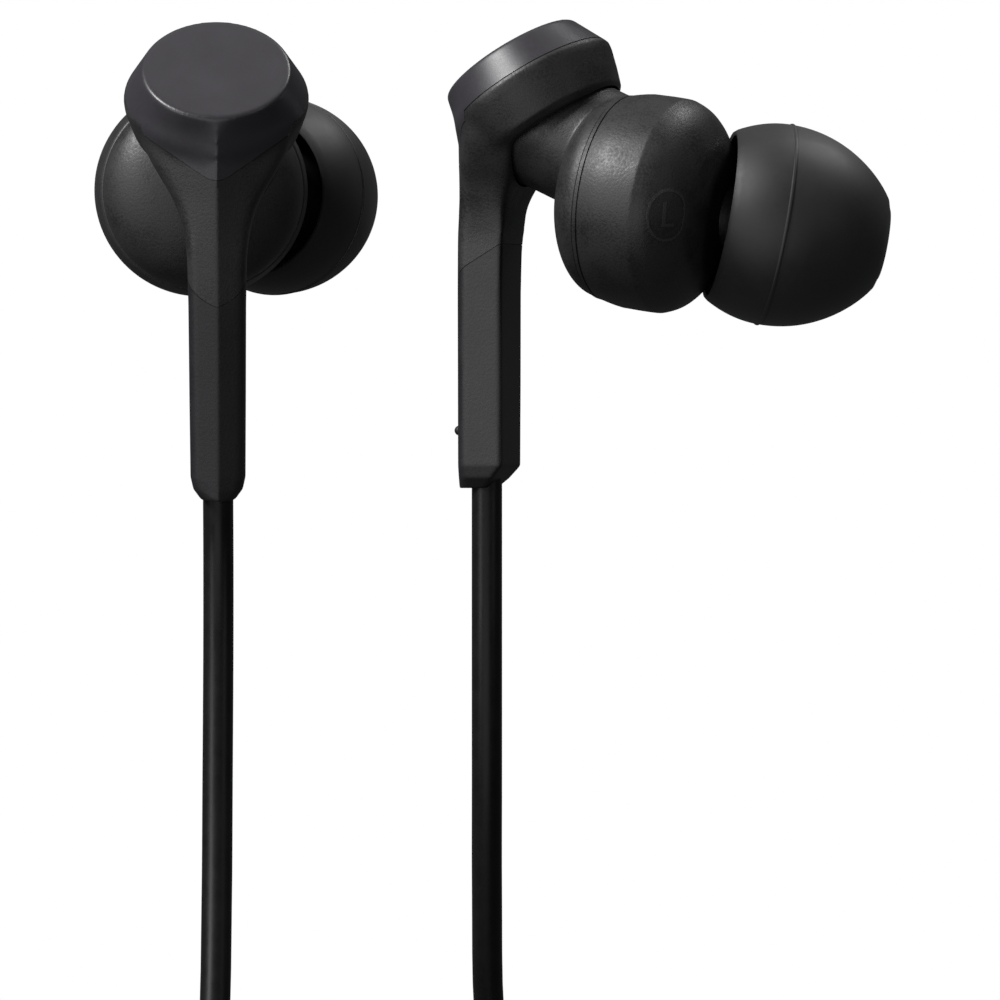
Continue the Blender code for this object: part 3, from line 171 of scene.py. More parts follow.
def hank(turns, first_layer, start, side, run):
    """A hank's centre line: it spirals in and out, a layer at a time, and changes layer along a run."""
    bounds = [sum(turns[:count]) for count in range(len(turns) + 1)]
    half = run / 2
    points = []
    for step in range(round(bounds[-1] * TURN_POINTS) + 1):
        turn = step / TURN_POINTS
        fold = HANK_INNER + PITCH * turns[0]
        for index, bound in enumerate(bounds[:-1]):
            fold += PITCH * min(max(turn - bound, 0.0), turns[index]) * (-1 if index % 2 == 0 else 1)
        shares = [min(max((turn - bound) * 4 + 0.5, 0.0), 1.0) for bound in bounds[1:-1]]
        climb = sum(share * share * (3 - 2 * share) for share in shares)
        part, along = divmod(((turn + start) % 1.0) * 4, 1.0)
        arc = math.pi * along
        x, z = ((-fold, (2 * along - 1) * half), (-fold * math.cos(arc), half + fold * math.sin(arc)),
                (fold, (1 - 2 * along) * half), (fold * math.cos(arc), -half - fold * math.sin(arc)))[int(part)]
        if abs(z) < half:
            x -= math.copysign(HANK_WAIST * (1 + math.cos(math.pi * z / half)) / 2, x)
        depth = (first_layer + climb * (1 if first_layer < 0 or len(turns) > 2 else -1)) * PITCH
        points.append(BUNDLE + Vector((side * x, depth, HANK_TOP - half + z)))
    return points


def branch_route(side, stem):
    """From inside the bushing, straight down, over to its hank, and on through the slider."""
    wound = hank((1.625, 1.625), side * 3.5, 0.5, side, BRANCH_RUN)
    start, end = wound[0], wound[-1]
    leave = stem @ Vector()
    tail = stem @ Vector((0, 0, -1)) - leave
    depth, outward = start.y - leave.y, start.x - leave.x
    upper = [stem @ Vector((0, 0, KNOT_PLACE - 0.0001)), leave, leave + tail * 0.004,
             (leave.x, leave.y + tail.y * 0.004 + depth * 0.02, leave.z - 0.0100)]
    for out, deep, drop in ((0, 0.16, 0.0180), (0, 0.42, 0.0255), (0.10, 0.72, 0.0330), (0.75, 0.96, 0.0400)):
        upper.append((leave.x + outward * out, leave.y + depth * deep, leave.z - drop))
    spread = side * TWIN_SPREAD
    lower = [end]
    for x, deep, drop in ((end.x - BUNDLE.x - side * 0.0003, 0.98, 0.0040), (side * 0.0066, 0.92, 0.0100),
                          (side * 0.0038, 0.50, 0.0138), (side * 0.0016, 0.07, 0.0162),
                          (spread, 0, SLIDER_TOP), (spread, 0, SLIDER_TOP + SLIDER_HEIGHT / 2)):
        lower.append((BUNDLE.x + x, BUNDLE.y + (end.y - BUNDLE.y) * deep, end.z - drop))
    last = Vector((BUNDLE.x + spread, BUNDLE.y, end.z - SPLITTER_DROP - SPLITTER_SOCKET + 0.0001))
    return smooth_route([*upper, start])[:-1] + wound[:-1] + smooth_route(lower) + [last]


def main_route():
    """From the splitter round a hanging loop, through the middle hank and down into the plug."""
    wound = hank((1.125, 1.5, 1.5, 1.625), -1.5, 0.0, 1, MAIN_RUN)
    wound = [point + Vector((0, 0, FOOT - wound[0].z)) for point in wound]
    start, end = wound[0], wound[-1]
    leave = FOOT - SPLITTER_DROP - SPLITTER_LENGTH
    low = leave - LOOP_DROP
    places = []
    for x, y, z in ((0, 0, leave + SPLITTER_SOCKET - 0.0001), (0, 0, leave), (0, 0.04, low),
                    (0.17, 0.22, low - 0.0038), (0.5, 0.5, low - 0.0053), (0.83, 0.78, low - 0.0038),
                    (1, 0.96, low), (1, 1, leave + 0.001)):
        places.append((BUNDLE.x + (start.x - BUNDLE.x) * x, BUNDLE.y + (start.y - BUNDLE.y) * y, z))
    drops = (PLUG_DROP / 2, PLUG_DROP, PLUG_DROP + PLUG_SOCKET - 0.0001)
    return smooth_route(places) + wound + [end - Vector((0, 0, drop)) for drop in drops]


TONE_SPREAD, GLOSS_SPREAD = 0.3, 0.35


def moulded(name, dark, light, gloss, cloud, grain, depth, strength=0.5, speckle=0.45, **extras):
    """A moulded finish: faint clouds of two tones, a gloss that wanders, and a fine grain in relief."""
    made = bpy.data.materials.new(name)
    made.use_nodes = True
    nodes, links = made.node_tree.nodes, made.node_tree.links
    shader = nodes["Principled BSDF"]
    for socket, value in extras.items():
        shader.inputs[socket].default_value = value
    place = nodes.new("ShaderNodeTexCoord")
    clouds, speck = nodes.new("ShaderNodeTexNoise"), nodes.new("ShaderNodeTexNoise")
    clouds.inputs["Scale"].default_value, clouds.inputs["Detail"].default_value = cloud, 4
    speck.inputs["Scale"].default_value, speck.inputs["Detail"].default_value = grain, 2
    tones, both = nodes.new("ShaderNodeValToRGB"), nodes.new("ShaderNodeMath")
    middle = 0.5 + speckle / 2
    tones.color_ramp.elements[0].position = middle - TONE_SPREAD
    tones.color_ramp.elements[1].position = middle + TONE_SPREAD
    tones.color_ramp.elements[0].color, tones.color_ramp.elements[1].color = (*dark, 1), (*light, 1)
    both.operation = "MULTIPLY_ADD"
    both.inputs[1].default_value = speckle
    shine, relief = nodes.new("ShaderNodeMapRange"), nodes.new("ShaderNodeBump")
    shine.inputs["From Min"].default_value = middle - GLOSS_SPREAD
    shine.inputs["From Max"].default_value = middle + GLOSS_SPREAD
    shine.inputs["To Min"].default_value, shine.inputs["To Max"].default_value = gloss
    relief.inputs["Strength"].default_value, relief.inputs["Distance"].default_value = strength, depth
    links.new(place.outputs["Object"], clouds.inputs["Vector"])
    links.new(place.outputs["Object"], speck.inputs["Vector"])
    links.new(both.outputs["Value"], tones.inputs["Fac"])
    links.new(tones.outputs["Color"], shader.inputs["Base Color"])
    links.new(speck.outputs["Fac"], both.inputs[0])
    links.new(clouds.outputs["Fac"], both.inputs[2])
    links.new(both.outputs["Value"], shine.inputs["Value"])
    links.new(shine.outputs["Result"], shader.inputs["Roughness"])
    links.new(speck.outputs["Fac"], relief.inputs["Height"])
    links.new(relief.outputs["Normal"], shader.inputs["Normal"])
    return made


cord_elastomer = moulded("cord_elastomer", (0.0065, 0.0065, 0.007), (0.009, 0.009, 0.0095), (0.30, 0.44), 700,
                         3800, 0.000006, 0.3, **{"Specular IOR Level": 0.22})

cords = {}
for name, route in (("left_cord", branch_route(1, LEFT_FRAME)), ("right_cord", branch_route(-1, RIGHT_FRAME)),
                    ("main_cord", main_route())):
    line = bpy.data.curves.new(name, "CURVE")
    line.dimensions = "3D"
    line.bevel_depth, line.bevel_resolution = CORD_RADIUS, 8
    line.use_fill_caps = True
    spline = line.splines.new("POLY")
    spline.points.add(len(route) - 1)
    for point, here in zip(spline.points, route):
        point.co = (*here, 1)
    cords[name] = bpy.data.objects.new(name + "_run", line)
    bpy.context.collection.objects.link(cords[name])
    line.materials.append(cord_elastomer)
    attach(cords[name], "earphones")
    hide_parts(name + "_upper", name + "_hank", name + "_lower")

# ---------------------------------------------------------------- stem, hub and cap of an earphone
# Three black mouldings that follow one smooth form: a house-shaped stem that flares into a round
# hub, and a satin cap with an apron. They are shaped in one block and parted along thin seams.
# Every earphone piece is shaped for the right ear, cord exit at the origin, cap towards -Y.
EAR_FRAMES = {"right": RIGHT_FRAME, "left": LEFT_FRAME @ Matrix.Diagonal((-1, 1, 1, 1))}
CAP_CENTRE = Vector((0.0, 0.0016, 0.02675))
CAP_TILT = math.radians(57)
CAP_UP = Vector((0.0, -math.cos(CAP_TILT), math.sin(CAP_TILT)))
CAP_FACE_RADIUS, CAP_BASE_RADIUS, CAP_HEIGHT = 0.0047, 0.0056, 0.0018
HUB_END_RADIUS, HUB_LENGTH = 0.00475, 0.00356
STEM_RIDGE = -0.00185
APRON_TIP = 0.02
SEAM, SEAM_DEPTH = 0.000055, 0.00005
SKIN_VOXEL = 0.00009


def ramp(value, start, width):
    """How far a value is past start, as a share of width between 0 and 1."""
    return min(max((value - start) / width, 0), 1)


def on_axis(point, along):
    """A frame at point whose +Z runs along a direction."""
    return Matrix.Translation(point) @ Vector(along).to_track_quat("Z", "Y").to_matrix().to_4x4()


def turned(name, profile, stand, sides=144):
    """A piece turned round the Z of stand: a ring drawn from one (radius, height) to the next."""
    (radius, height), *others = profile
    bpy.ops.mesh.primitive_circle_add(vertices=sides, radius=max(radius, 1e-6), location=(0, 0, height))
    piece = bpy.context.object
    piece.name = name
    bpy.ops.object.transform_apply()
    bpy.ops.object.mode_set(mode="EDIT")
    bpy.ops.mesh.select_all(action="SELECT")
    was = max(radius, 1e-6)
    for radius, level in others:
        bpy.ops.mesh.extrude_edges_move(TRANSFORM_OT_translate={"value": (0, 0, level - height)})
        share = max(radius, 1e-6) / was
        bpy.ops.transform.resize(value=(share, share, 1), center_override=(0, 0, level))
        height, was = level, max(radius, 1e-6)
    bpy.ops.mesh.select_all(action="SELECT")
    bpy.ops.mesh.remove_doubles(threshold=2e-6)
    bpy.ops.mesh.select_all(action="SELECT")
    bpy.ops.mesh.normals_make_consistent(inside=False)
    bpy.ops.object.mode_set(mode="OBJECT")
    piece.matrix_world = stand
    only(piece)
    bpy.ops.object.transform_apply()
    return piece


def only(piece):
    """Makes one object the selected and active one."""
    bpy.ops.object.select_all(action="DESELECT")
    piece.select_set(True)
    bpy.context.view_layer.objects.active = piece


def joined(piece, other, operation, keep=False):
    """Adds, cuts or keeps the shared part of another closed solid."""
    only(piece)
    cut = piece.modifiers.new("join", "BOOLEAN")
    cut.operation, cut.solver, cut.object = operation, "EXACT", other
    bpy.ops.object.modifier_apply(modifier=cut.name)
    if not keep:
        bpy.data.objects.remove(other)
    return piece


def remeshed(piece, voxel, rounds):
    """One even skin over a joined block, its inner corners run together."""
    only(piece)
    skin = piece.modifiers.new("skin", "REMESH")
    skin.mode, skin.voxel_size = "VOXEL", voxel
    bpy.ops.object.modifier_apply(modifier=skin.name)
    soft = piece.modifiers.new("soft", "SMOOTH")
    soft.factor, soft.iterations = 0.5, rounds
    bpy.ops.object.modifier_apply(modifier=soft.name)
    return piece


def copied(piece, name):
    twin = piece.copy()
    twin.data = piece.data.copy()
    twin.name = name
    bpy.context.collection.objects.link(twin)
    return twin


def select_where(piece, kind, test):
    """Selects the vertices or faces of the piece in edit mode that pass a test of place and normal."""
    bpy.ops.mesh.select_mode(type=kind)
    bpy.ops.mesh.select_all(action="DESELECT")
    bpy.ops.object.mode_set(mode="OBJECT")
    for item in (piece.data.vertices if kind == "VERT" else piece.data.polygons):
        item.select = test(item.co, item.normal) if kind == "VERT" else test(item.center, item.normal)
    bpy.ops.object.mode_set(mode="EDIT")


# The stem: a bar cut into levels, each moved to its outline, with a ridge in front.
# height, half width, front corner, ridge, back
STEM_LEVELS = (
    (0.0, 0.00108, -0.0013, -0.00185, 0.00035), (0.00065, 0.00155, -0.0013, -0.00185, 0.0010),
    (0.0014, 0.00172, -0.0013, -0.00185, 0.00165), (0.0061, 0.00176, -0.0013, -0.00185, 0.00165),
    (0.0122, 0.0018, -0.0013, -0.00185, 0.00165), (0.0152, 0.00187, -0.00125, -0.00185, 0.00172),
    (0.0166, 0.00205, -0.00112, -0.00185, 0.0019), (0.0178, 0.00235, -0.00092, -0.00186, 0.0021),
    (0.0190, 0.00285, -0.00062, -0.00187, 0.0026), (0.0202, 0.0036, -0.00025, -0.00190, 0.0030),
    (0.02165, 0.0044, 0.0002, -0.00193, 0.0033), (0.0230, 0.00485, 0.0006, -0.00193, 0.0034),
)
levels = [*STEM_LEVELS[:4], *smooth_route(STEM_LEVELS[4:], 3)]
bpy.ops.mesh.primitive_cube_add(size=1)
block = bpy.context.object
block.name = "earphone_block"
block.dimensions = (2, 2, STEM_LEVELS[-1][0])
block.location = (0, 0, STEM_LEVELS[-1][0] / 2)
bpy.ops.object.transform_apply()
bpy.ops.object.mode_set(mode="EDIT")
for point, normal in [((0, 0, 0), (1, 0, 0))] + [((0, 0, level[0]), (0, 0, 1)) for level in levels[1:-1]]:
    bpy.ops.mesh.select_all(action="SELECT")
    bpy.ops.mesh.bisect(plane_co=point, plane_no=normal)
for height, half_width, front, ridge, back in levels:
    for side, depth, x, y in ((-1, -1, -half_width, front), (1, -1, half_width, front), (0, -1, 0, ridge),
                              (-1, 1, -half_width, back), (1, 1, half_width, back), (0, 1, 0, back)):
        select_where(block, "VERT", lambda co, _: abs(co.z - height) < 1e-5
                     and abs(co.x - side) < 0.5 and abs(co.y - depth) < 0.5)
        bpy.ops.transform.translate(value=(x - side, y - depth, 0))
for column, width in ((2, 0.00055), (4, 0.00022)):
    edge = [(level[1], level[column], level[0]) for level in levels]
    select_where(block, "VERT", lambda co, _: any((Vector((abs(co.x), co.y, co.z)) - Vector(place)).length < 2e-5
                                                  for place in edge))
    bpy.ops.mesh.bevel(offset=width, segments=4, affect="EDGES", clamp_overlap=True)
bpy.ops.object.mode_set(mode="OBJECT")

# The hub and cap: one turned cone, its front drawn to a keel below the cap's face.
KEEL_ANGLE, KEEL_DEPTH = math.radians(80), 0.075
CAP_SEAM = -0.0021
cone = turned("cap_and_hub", [
    (0, 0), (CAP_FACE_RADIUS * 0.5, 0), (CAP_FACE_RADIUS - 0.00026, 0), (CAP_FACE_RADIUS - 0.00010, -0.00005),
    (CAP_FACE_RADIUS, -0.00020), *((CAP_FACE_RADIUS + (CAP_BASE_RADIUS - CAP_FACE_RADIUS) * share,
                                    -0.0002 - 0.0018 * share) for share in (0.15, 0.3, 0.5, 0.75, 1, 1.1, 1.2)),
    (0.00575, -0.0026), (0.00572, -0.0028), (0.00565, -CAP_HEIGHT - HUB_LENGTH * 0.35),
    (0.00541, -CAP_HEIGHT - HUB_LENGTH * 0.6), (0.00507, -CAP_HEIGHT - HUB_LENGTH * 0.9),
    (HUB_END_RADIUS - 0.0001, -CAP_HEIGHT - HUB_LENGTH), (0, -CAP_HEIGHT - HUB_LENGTH),
], on_axis(CAP_CENTRE, CAP_UP), 180)
forward = Vector((0, -math.sin(CAP_TILT), -math.cos(CAP_TILT)))
for vertex in cone.data.vertices:
    height = (vertex.co - CAP_CENTRE).dot(CAP_UP)
    foot = CAP_CENTRE + CAP_UP * height
    spoke = vertex.co - foot
    if height > -0.0001 or spoke.length < 0.001:
        continue
    angle = spoke.angle(forward)
    if angle < KEEL_ANGLE:
        along = angle / KEEL_ANGLE
        hollow = KEEL_DEPTH * along * (1 - along) ** 2 * 27 / 4
        vertex.co = foot + spoke * (1 - hollow * min((-0.0001 - height) / 0.0013, 1))
joined(block, cone, "UNION")
remeshed(block, SKIN_VOXEL, 7)

# Where the stem flares out under the hub, the skin is run together; the ridge in front stays sharp.
blend = block.vertex_groups.new(name="flare")
for vertex in block.data.vertices:
    x, y, z = vertex.co
    share = (ramp(abs(x), 0.00012, 0.0008) * ramp(z, 0.0160, 0.0012)
             * ramp(-z, -0.0238, 0.0010) * ramp(-y, -0.0040, 0.0012))
    if share:
        blend.add([vertex.index], share, "REPLACE")
only(block)
run = block.modifiers.new("flare", "SMOOTH")
run.factor, run.iterations, run.vertex_group = 0.5, 160, "flare"
bpy.ops.object.modifier_apply(modifier=run.name)
block.vertex_groups.clear()

# Two thin seams part it: over the cap's base and its apron, and under the hub's stem.
bpy.ops.mesh.primitive_cylinder_add(vertices=64, radius=0.010, depth=0.008)
above = bpy.context.object
above.matrix_world = on_axis(CAP_CENTRE + CAP_UP * (0.004 + CAP_SEAM), CAP_UP)
bpy.ops.object.transform_apply()
APRON_SIZE, APRON_DEPTH, APRON_STEEPNESS = 0.017, 0.00635, 0.625
bpy.ops.mesh.primitive_cube_add(size=APRON_SIZE, rotation=(0, math.radians(45), 0))
apron = bpy.context.object
bpy.ops.object.transform_apply()
apron.scale = (1, APRON_DEPTH / APRON_SIZE, APRON_STEEPNESS)
apron.location = (0, -0.00282, APRON_TIP + APRON_SIZE * 0.7071 * APRON_STEEPNESS)
bpy.ops.object.transform_apply()
bpy.ops.object.mode_set(mode="EDIT")
bpy.ops.mesh.select_mode(type="VERT")
select_where(apron, "VERT", lambda co, _: co.z < APRON_TIP + 0.0001)
bpy.ops.mesh.bevel(offset=0.0009, segments=6)
bpy.ops.object.mode_set(mode="OBJECT")
over_seam = joined(above, apron, "UNION")

bpy.ops.mesh.primitive_grid_add(x_subdivisions=40, y_subdivisions=40, size=0.007)
under_seam = bpy.context.object
for vertex in under_seam.data.vertices:
    x, share = vertex.co.x, min(max((vertex.co.y - STEM_RIDGE) / 0.0035, -0.1), 1)
    vertex.co.z = 0.01225 + 270 * x * x * (1 - share) + 0.00295 * share
bpy.ops.object.mode_set(mode="EDIT")
bpy.ops.mesh.select_all(action="SELECT")
bpy.ops.mesh.extrude_region_move(TRANSFORM_OT_translate={"value": (0, 0, -0.02)})
bpy.ops.mesh.select_all(action="SELECT")
bpy.ops.mesh.normals_make_consistent(inside=False)
bpy.ops.object.mode_set(mode="OBJECT")

core = copied(block, "core")
cap = joined(copied(block, "cap"), over_seam, "INTERSECT", keep=True)
bushing = joined(copied(block, "stem_bushing"), under_seam, "INTERSECT", keep=True)
for cutter, shift in ((over_seam, (0, 0.00002, -SEAM * 1.2)), (under_seam, (0, 0, SEAM))):
    only(cutter)
    bpy.ops.transform.translate(value=shift)
    joined(block, cutter, "DIFFERENCE")
hub = block
hub.name = "hub_stem"
NECK_ALONG = Vector((0, math.cos(math.radians(25)), -math.sin(math.radians(25))))
NECK_POINT = Vector((0, 0.0049, 0.0222))
NECK_RADIUS, NECK_CLEARANCE = 0.00393, 0.00017
bpy.ops.mesh.primitive_cylinder_add(vertices=96, radius=NECK_RADIUS + NECK_CLEARANCE, depth=0.012)
room = bpy.context.object
room.matrix_world = on_axis(NECK_POINT + NECK_ALONG * (0.006 - 0.0024), NECK_ALONG)
bpy.ops.object.transform_apply()
only(core)
bpy.ops.object.mode_set(mode="EDIT")
bpy.ops.mesh.select_all(action="SELECT")
bpy.ops.transform.shrink_fatten(value=-SEAM_DEPTH)
bpy.ops.object.mode_set(mode="OBJECT")
thinned = core.modifiers.new("thinned", "DECIMATE")
thinned.ratio = 0.35
bpy.ops.object.modifier_apply(modifier=thinned.name)
joined(hub, room, "DIFFERENCE", keep=True)
joined(core, room, "DIFFERENCE")
bpy.ops.object.select_all(action="DESELECT")
core.select_set(True)
hub.select_set(True)
bpy.context.view_layer.objects.active = hub
bpy.ops.object.join()


def fit_to_ears(piece, label, finish, body="earphones"):
    """Places a piece that was shaped for the right ear in both earphones, mirrored for the left."""
    only(piece)
    bpy.ops.object.shade_smooth_by_angle(angle=math.radians(32))
    piece.data.materials.append(finish)
    made = {}
    for side, stand in EAR_FRAMES.items():
        twin = made[side] = copied(piece, f"{side}_{label}_shell")
        twin.data.transform(stand)
        if side == "left":
            twin.data.flip_normals()
        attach(twin, f"{side}_{body}" if body == "eartip" else body)
        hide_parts(f"{side}_{label}")
    bpy.data.objects.remove(piece)
    return made


satin_black = moulded("satin_black_plastic", (0.031, 0.0285, 0.033), (0.038, 0.0355, 0.041), (0.30, 0.42), 420, 5200,
                      0.000005, 0.3)
grained_black = moulded("grained_black_plastic", (0.012, 0.012, 0.0125), (0.022, 0.0215, 0.023), (0.36, 0.62), 500,
                        6200, 0.000022, 0.7, speckle=0.9)
smooth_black = moulded("smooth_black_plastic", (0.0088, 0.0084, 0.0098), (0.0125, 0.012, 0.014), (0.42, 0.58), 450,
                       5600, 0.000018, 0.6)
fit_to_ears(cap, "cap", satin_black)
fit_to_ears(hub, "hub_stem", grained_black)
fit_to_ears(bushing, "stem_bushing", smooth_black)

# ---------------------------------------------------------------- driver housings
# Two grained shells that meet at a thin ring: the domed back, moulded in one with its neck, and
# the barrel that slopes to the nozzle. Both are turned on one axis, and the neck is run in.
HOUSING = on_axis((-0.00095, 0.0110, 0.01775), (math.sin(math.radians(-3)) * math.cos(math.radians(8.5)),
                                                math.cos(math.radians(-3)) * math.cos(math.radians(8.5)),
                                                -math.sin(math.radians(8.5))))
TIP = on_axis((0.00215, 0.01475, 0.0170), (math.sin(math.radians(28)) * math.cos(math.radians(10)),
                                           math.cos(math.radians(28)) * math.cos(math.radians(10)),
                                           -math.sin(math.radians(10))))
RIM_PLACE, RIM_RADIUS, DOME_DEPTH = -0.00203, 0.0063, 0.0031
dome = []
for step in range(25):
    angle = math.radians(90) * step / 24
    dome.append((RIM_RADIUS * math.sin(angle) ** 1.1, RIM_PLACE - DOME_DEPTH * math.cos(angle)))
rear = turned("rear_housing", [*dome, (RIM_RADIUS, RIM_PLACE + 0.0008), (0, RIM_PLACE + 0.0008)], HOUSING)
neck = turned("neck", [(0, -0.0021), (NECK_RADIUS - 0.00012, -0.0021), (NECK_RADIUS, -0.00198), (NECK_RADIUS, 0.001),
                       (NECK_RADIUS, 0.0045), (0, 0.0045)], on_axis(NECK_POINT, NECK_ALONG))
joined(rear, neck, "UNION")
remeshed(rear, 0.0001, 5)
bpy.ops.mesh.primitive_cylinder_add(vertices=96, radius=0.012, depth=0.01)
off = bpy.context.object
off.matrix_world = HOUSING @ Matrix.Translation((0, 0, RIM_PLACE - 0.00005 + 0.005))
bpy.ops.object.transform_apply()
joined(rear, off, "DIFFERENCE")

# The ring between two fine grooves, the barrel, its soft crease and the rounded slope to the nozzle.
front_profile = [(0, RIM_PLACE), (0.00632, RIM_PLACE), (0.00640, RIM_PLACE + 0.00005), (0.00643, RIM_PLACE + 0.00028),
                 (0.00636, RIM_PLACE + 0.00031), (0.00636, RIM_PLACE + 0.00038), (0.00645, RIM_PLACE + 0.00042),
                 (0.00654, RIM_PLACE + 0.0008), (0.00664, RIM_PLACE + 0.0013), (0.0067, -0.0003)]
front_profile += [(radius / 1000, height / 1000) for radius, height in smooth_route((
    (6.71, 0.3), (6.72, 0.9), (6.715, 1.5), (6.70, 1.92), (6.675, 2.06), (6.62, 2.22), (6.5, 2.53), (6.3, 2.9),
    (6.0, 3.27), (5.65, 3.6), (5.2, 3.93), (4.75, 4.2), (4.3, 4.42), (4.0, 4.52), (3.7, 4.58)), 3)]
front_profile.append((0, 0.0046))
front = turned("front_housing", front_profile, HOUSING, 192)
spout = turned("spout", [(0, -0.003), (0.0023, -0.003), (0.0023, 0.0035), (0.0023, 0.0041), (0.00233, 0.0043),
                         (0.00255, 0.0044), (0.00255, 0.0048), (0.0024, 0.0053), (0.0022, 0.0056),
                         (0.00205, 0.0056), (0.002, 0.00555), (0.002, 0.0053), (0.0017, 0.0053), (0.0017, 0.002),
                         (0, 0.002)], TIP, 96)
joined(front, spout, "UNION")

fit_to_ears(rear, "rear_housing", grained_black)
housings = fit_to_ears(front, "front_housing", grained_black)

# ---------------------------------------------------------------- eartips
# Soft silicone domes, hollow at the back, with a raised moulding line round the widest place,
# a rolled rim, an inner sleeve that grips the nozzle and a small mouth in front.
tip_profile = []
for step in range(46):
    share = step / 45
    height = 0.0104 * share
    if height <= 0.0035:
        radius = 0.0063 - 0.0010 * ((0.0035 - height) / 0.0035) ** 2
    else:
        radius = 0.00245 + 0.00385 * (1 - ((height - 0.0035) / 0.0069) ** 2.1) ** 0.8
    tip_profile.append((radius, height))
seam_line = [(0.00630, 0.00338), (0.00635, 0.00341), (0.00637, 0.00346), (0.00637, 0.00352), (0.00635, 0.00357),
             (0.0063, 0.0036)]
rolled_rim = [(0.00505, 0.00012), (0.00515, 0.00002), (0.00526, 0.00002)]
tip_profile = (rolled_rim + [place for place in tip_profile[1:] if place[1] < 0.0033]
               + seam_line + [place for place in tip_profile if 0.0037 < place[1] < 0.0103]
               + [(0.0024, 0.01033), (0.00225, 0.0104), (0.0020, 0.0104), (0.0019, 0.0103), (0.0019, 0.0060),
                  (0.00265, 0.0058), (0.00265, 0.0018), (0.0027, 0.0017), (0.0032, 0.0017), (0.00325, 0.0018),
                  (0.00325, 0.0066), (0.0036, 0.0072), (0.0045, 0.0074), (0.0052, 0.0066), (0.0057, 0.0050),
                  (0.00585, 0.0036), (0.0056, 0.0020), (0.0051, 0.0006)])
tip = turned("eartip", tip_profile + tip_profile[:1], TIP, 160)

black_silicone = moulded("black_silicone", (0.017, 0.017, 0.018), (0.022, 0.022, 0.023), (0.46, 0.60), 380, 3000,
                         0.000008, 0.3, **{"Sheen Weight": 0.05, "Sheen Roughness": 0.5})
fit_to_ears(tip, "eartip", black_silicone, "eartip")

# ---------------------------------------------------------------- nozzle screens
# A fine woven screen across each nozzle's mouth: a square grid cut round and drawn into wires.
WEAVE_CELLS, WEAVE_WIDTH, WIRE, WAVE = 26, 0.0039, 0.00006, 0.00002
bpy.ops.mesh.primitive_grid_add(x_subdivisions=WEAVE_CELLS, y_subdivisions=WEAVE_CELLS, size=WEAVE_WIDTH)
screen = bpy.context.object
screen.name = "nozzle_mesh"
bpy.ops.object.mode_set(mode="EDIT")
select_where(screen, "FACE", lambda place, _: place.length > 0.00192)
bpy.ops.mesh.delete(type="FACE")
bpy.ops.object.mode_set(mode="OBJECT")
for vertex in screen.data.vertices:
    weave = round(vertex.co.x * WEAVE_CELLS / WEAVE_WIDTH) + round(vertex.co.y * WEAVE_CELLS / WEAVE_WIDTH)
    vertex.co.z = WAVE if weave % 2 else -WAVE
wires = screen.modifiers.new("wires", "WIREFRAME")
wires.thickness = WIRE
bpy.ops.object.modifier_apply(modifier="wires")
screen.matrix_world = TIP @ Matrix.Translation((0, 0, 0.00542))
only(screen)
bpy.ops.object.transform_apply()
screen_steel = moulded("screen_steel", (0.42, 0.42, 0.43), (0.55, 0.55, 0.56), (0.25, 0.45), 900, 6000, 0.000004, 0.3,
                       Metallic=1)
fit_to_ears(screen, "nozzle_mesh", screen_steel)

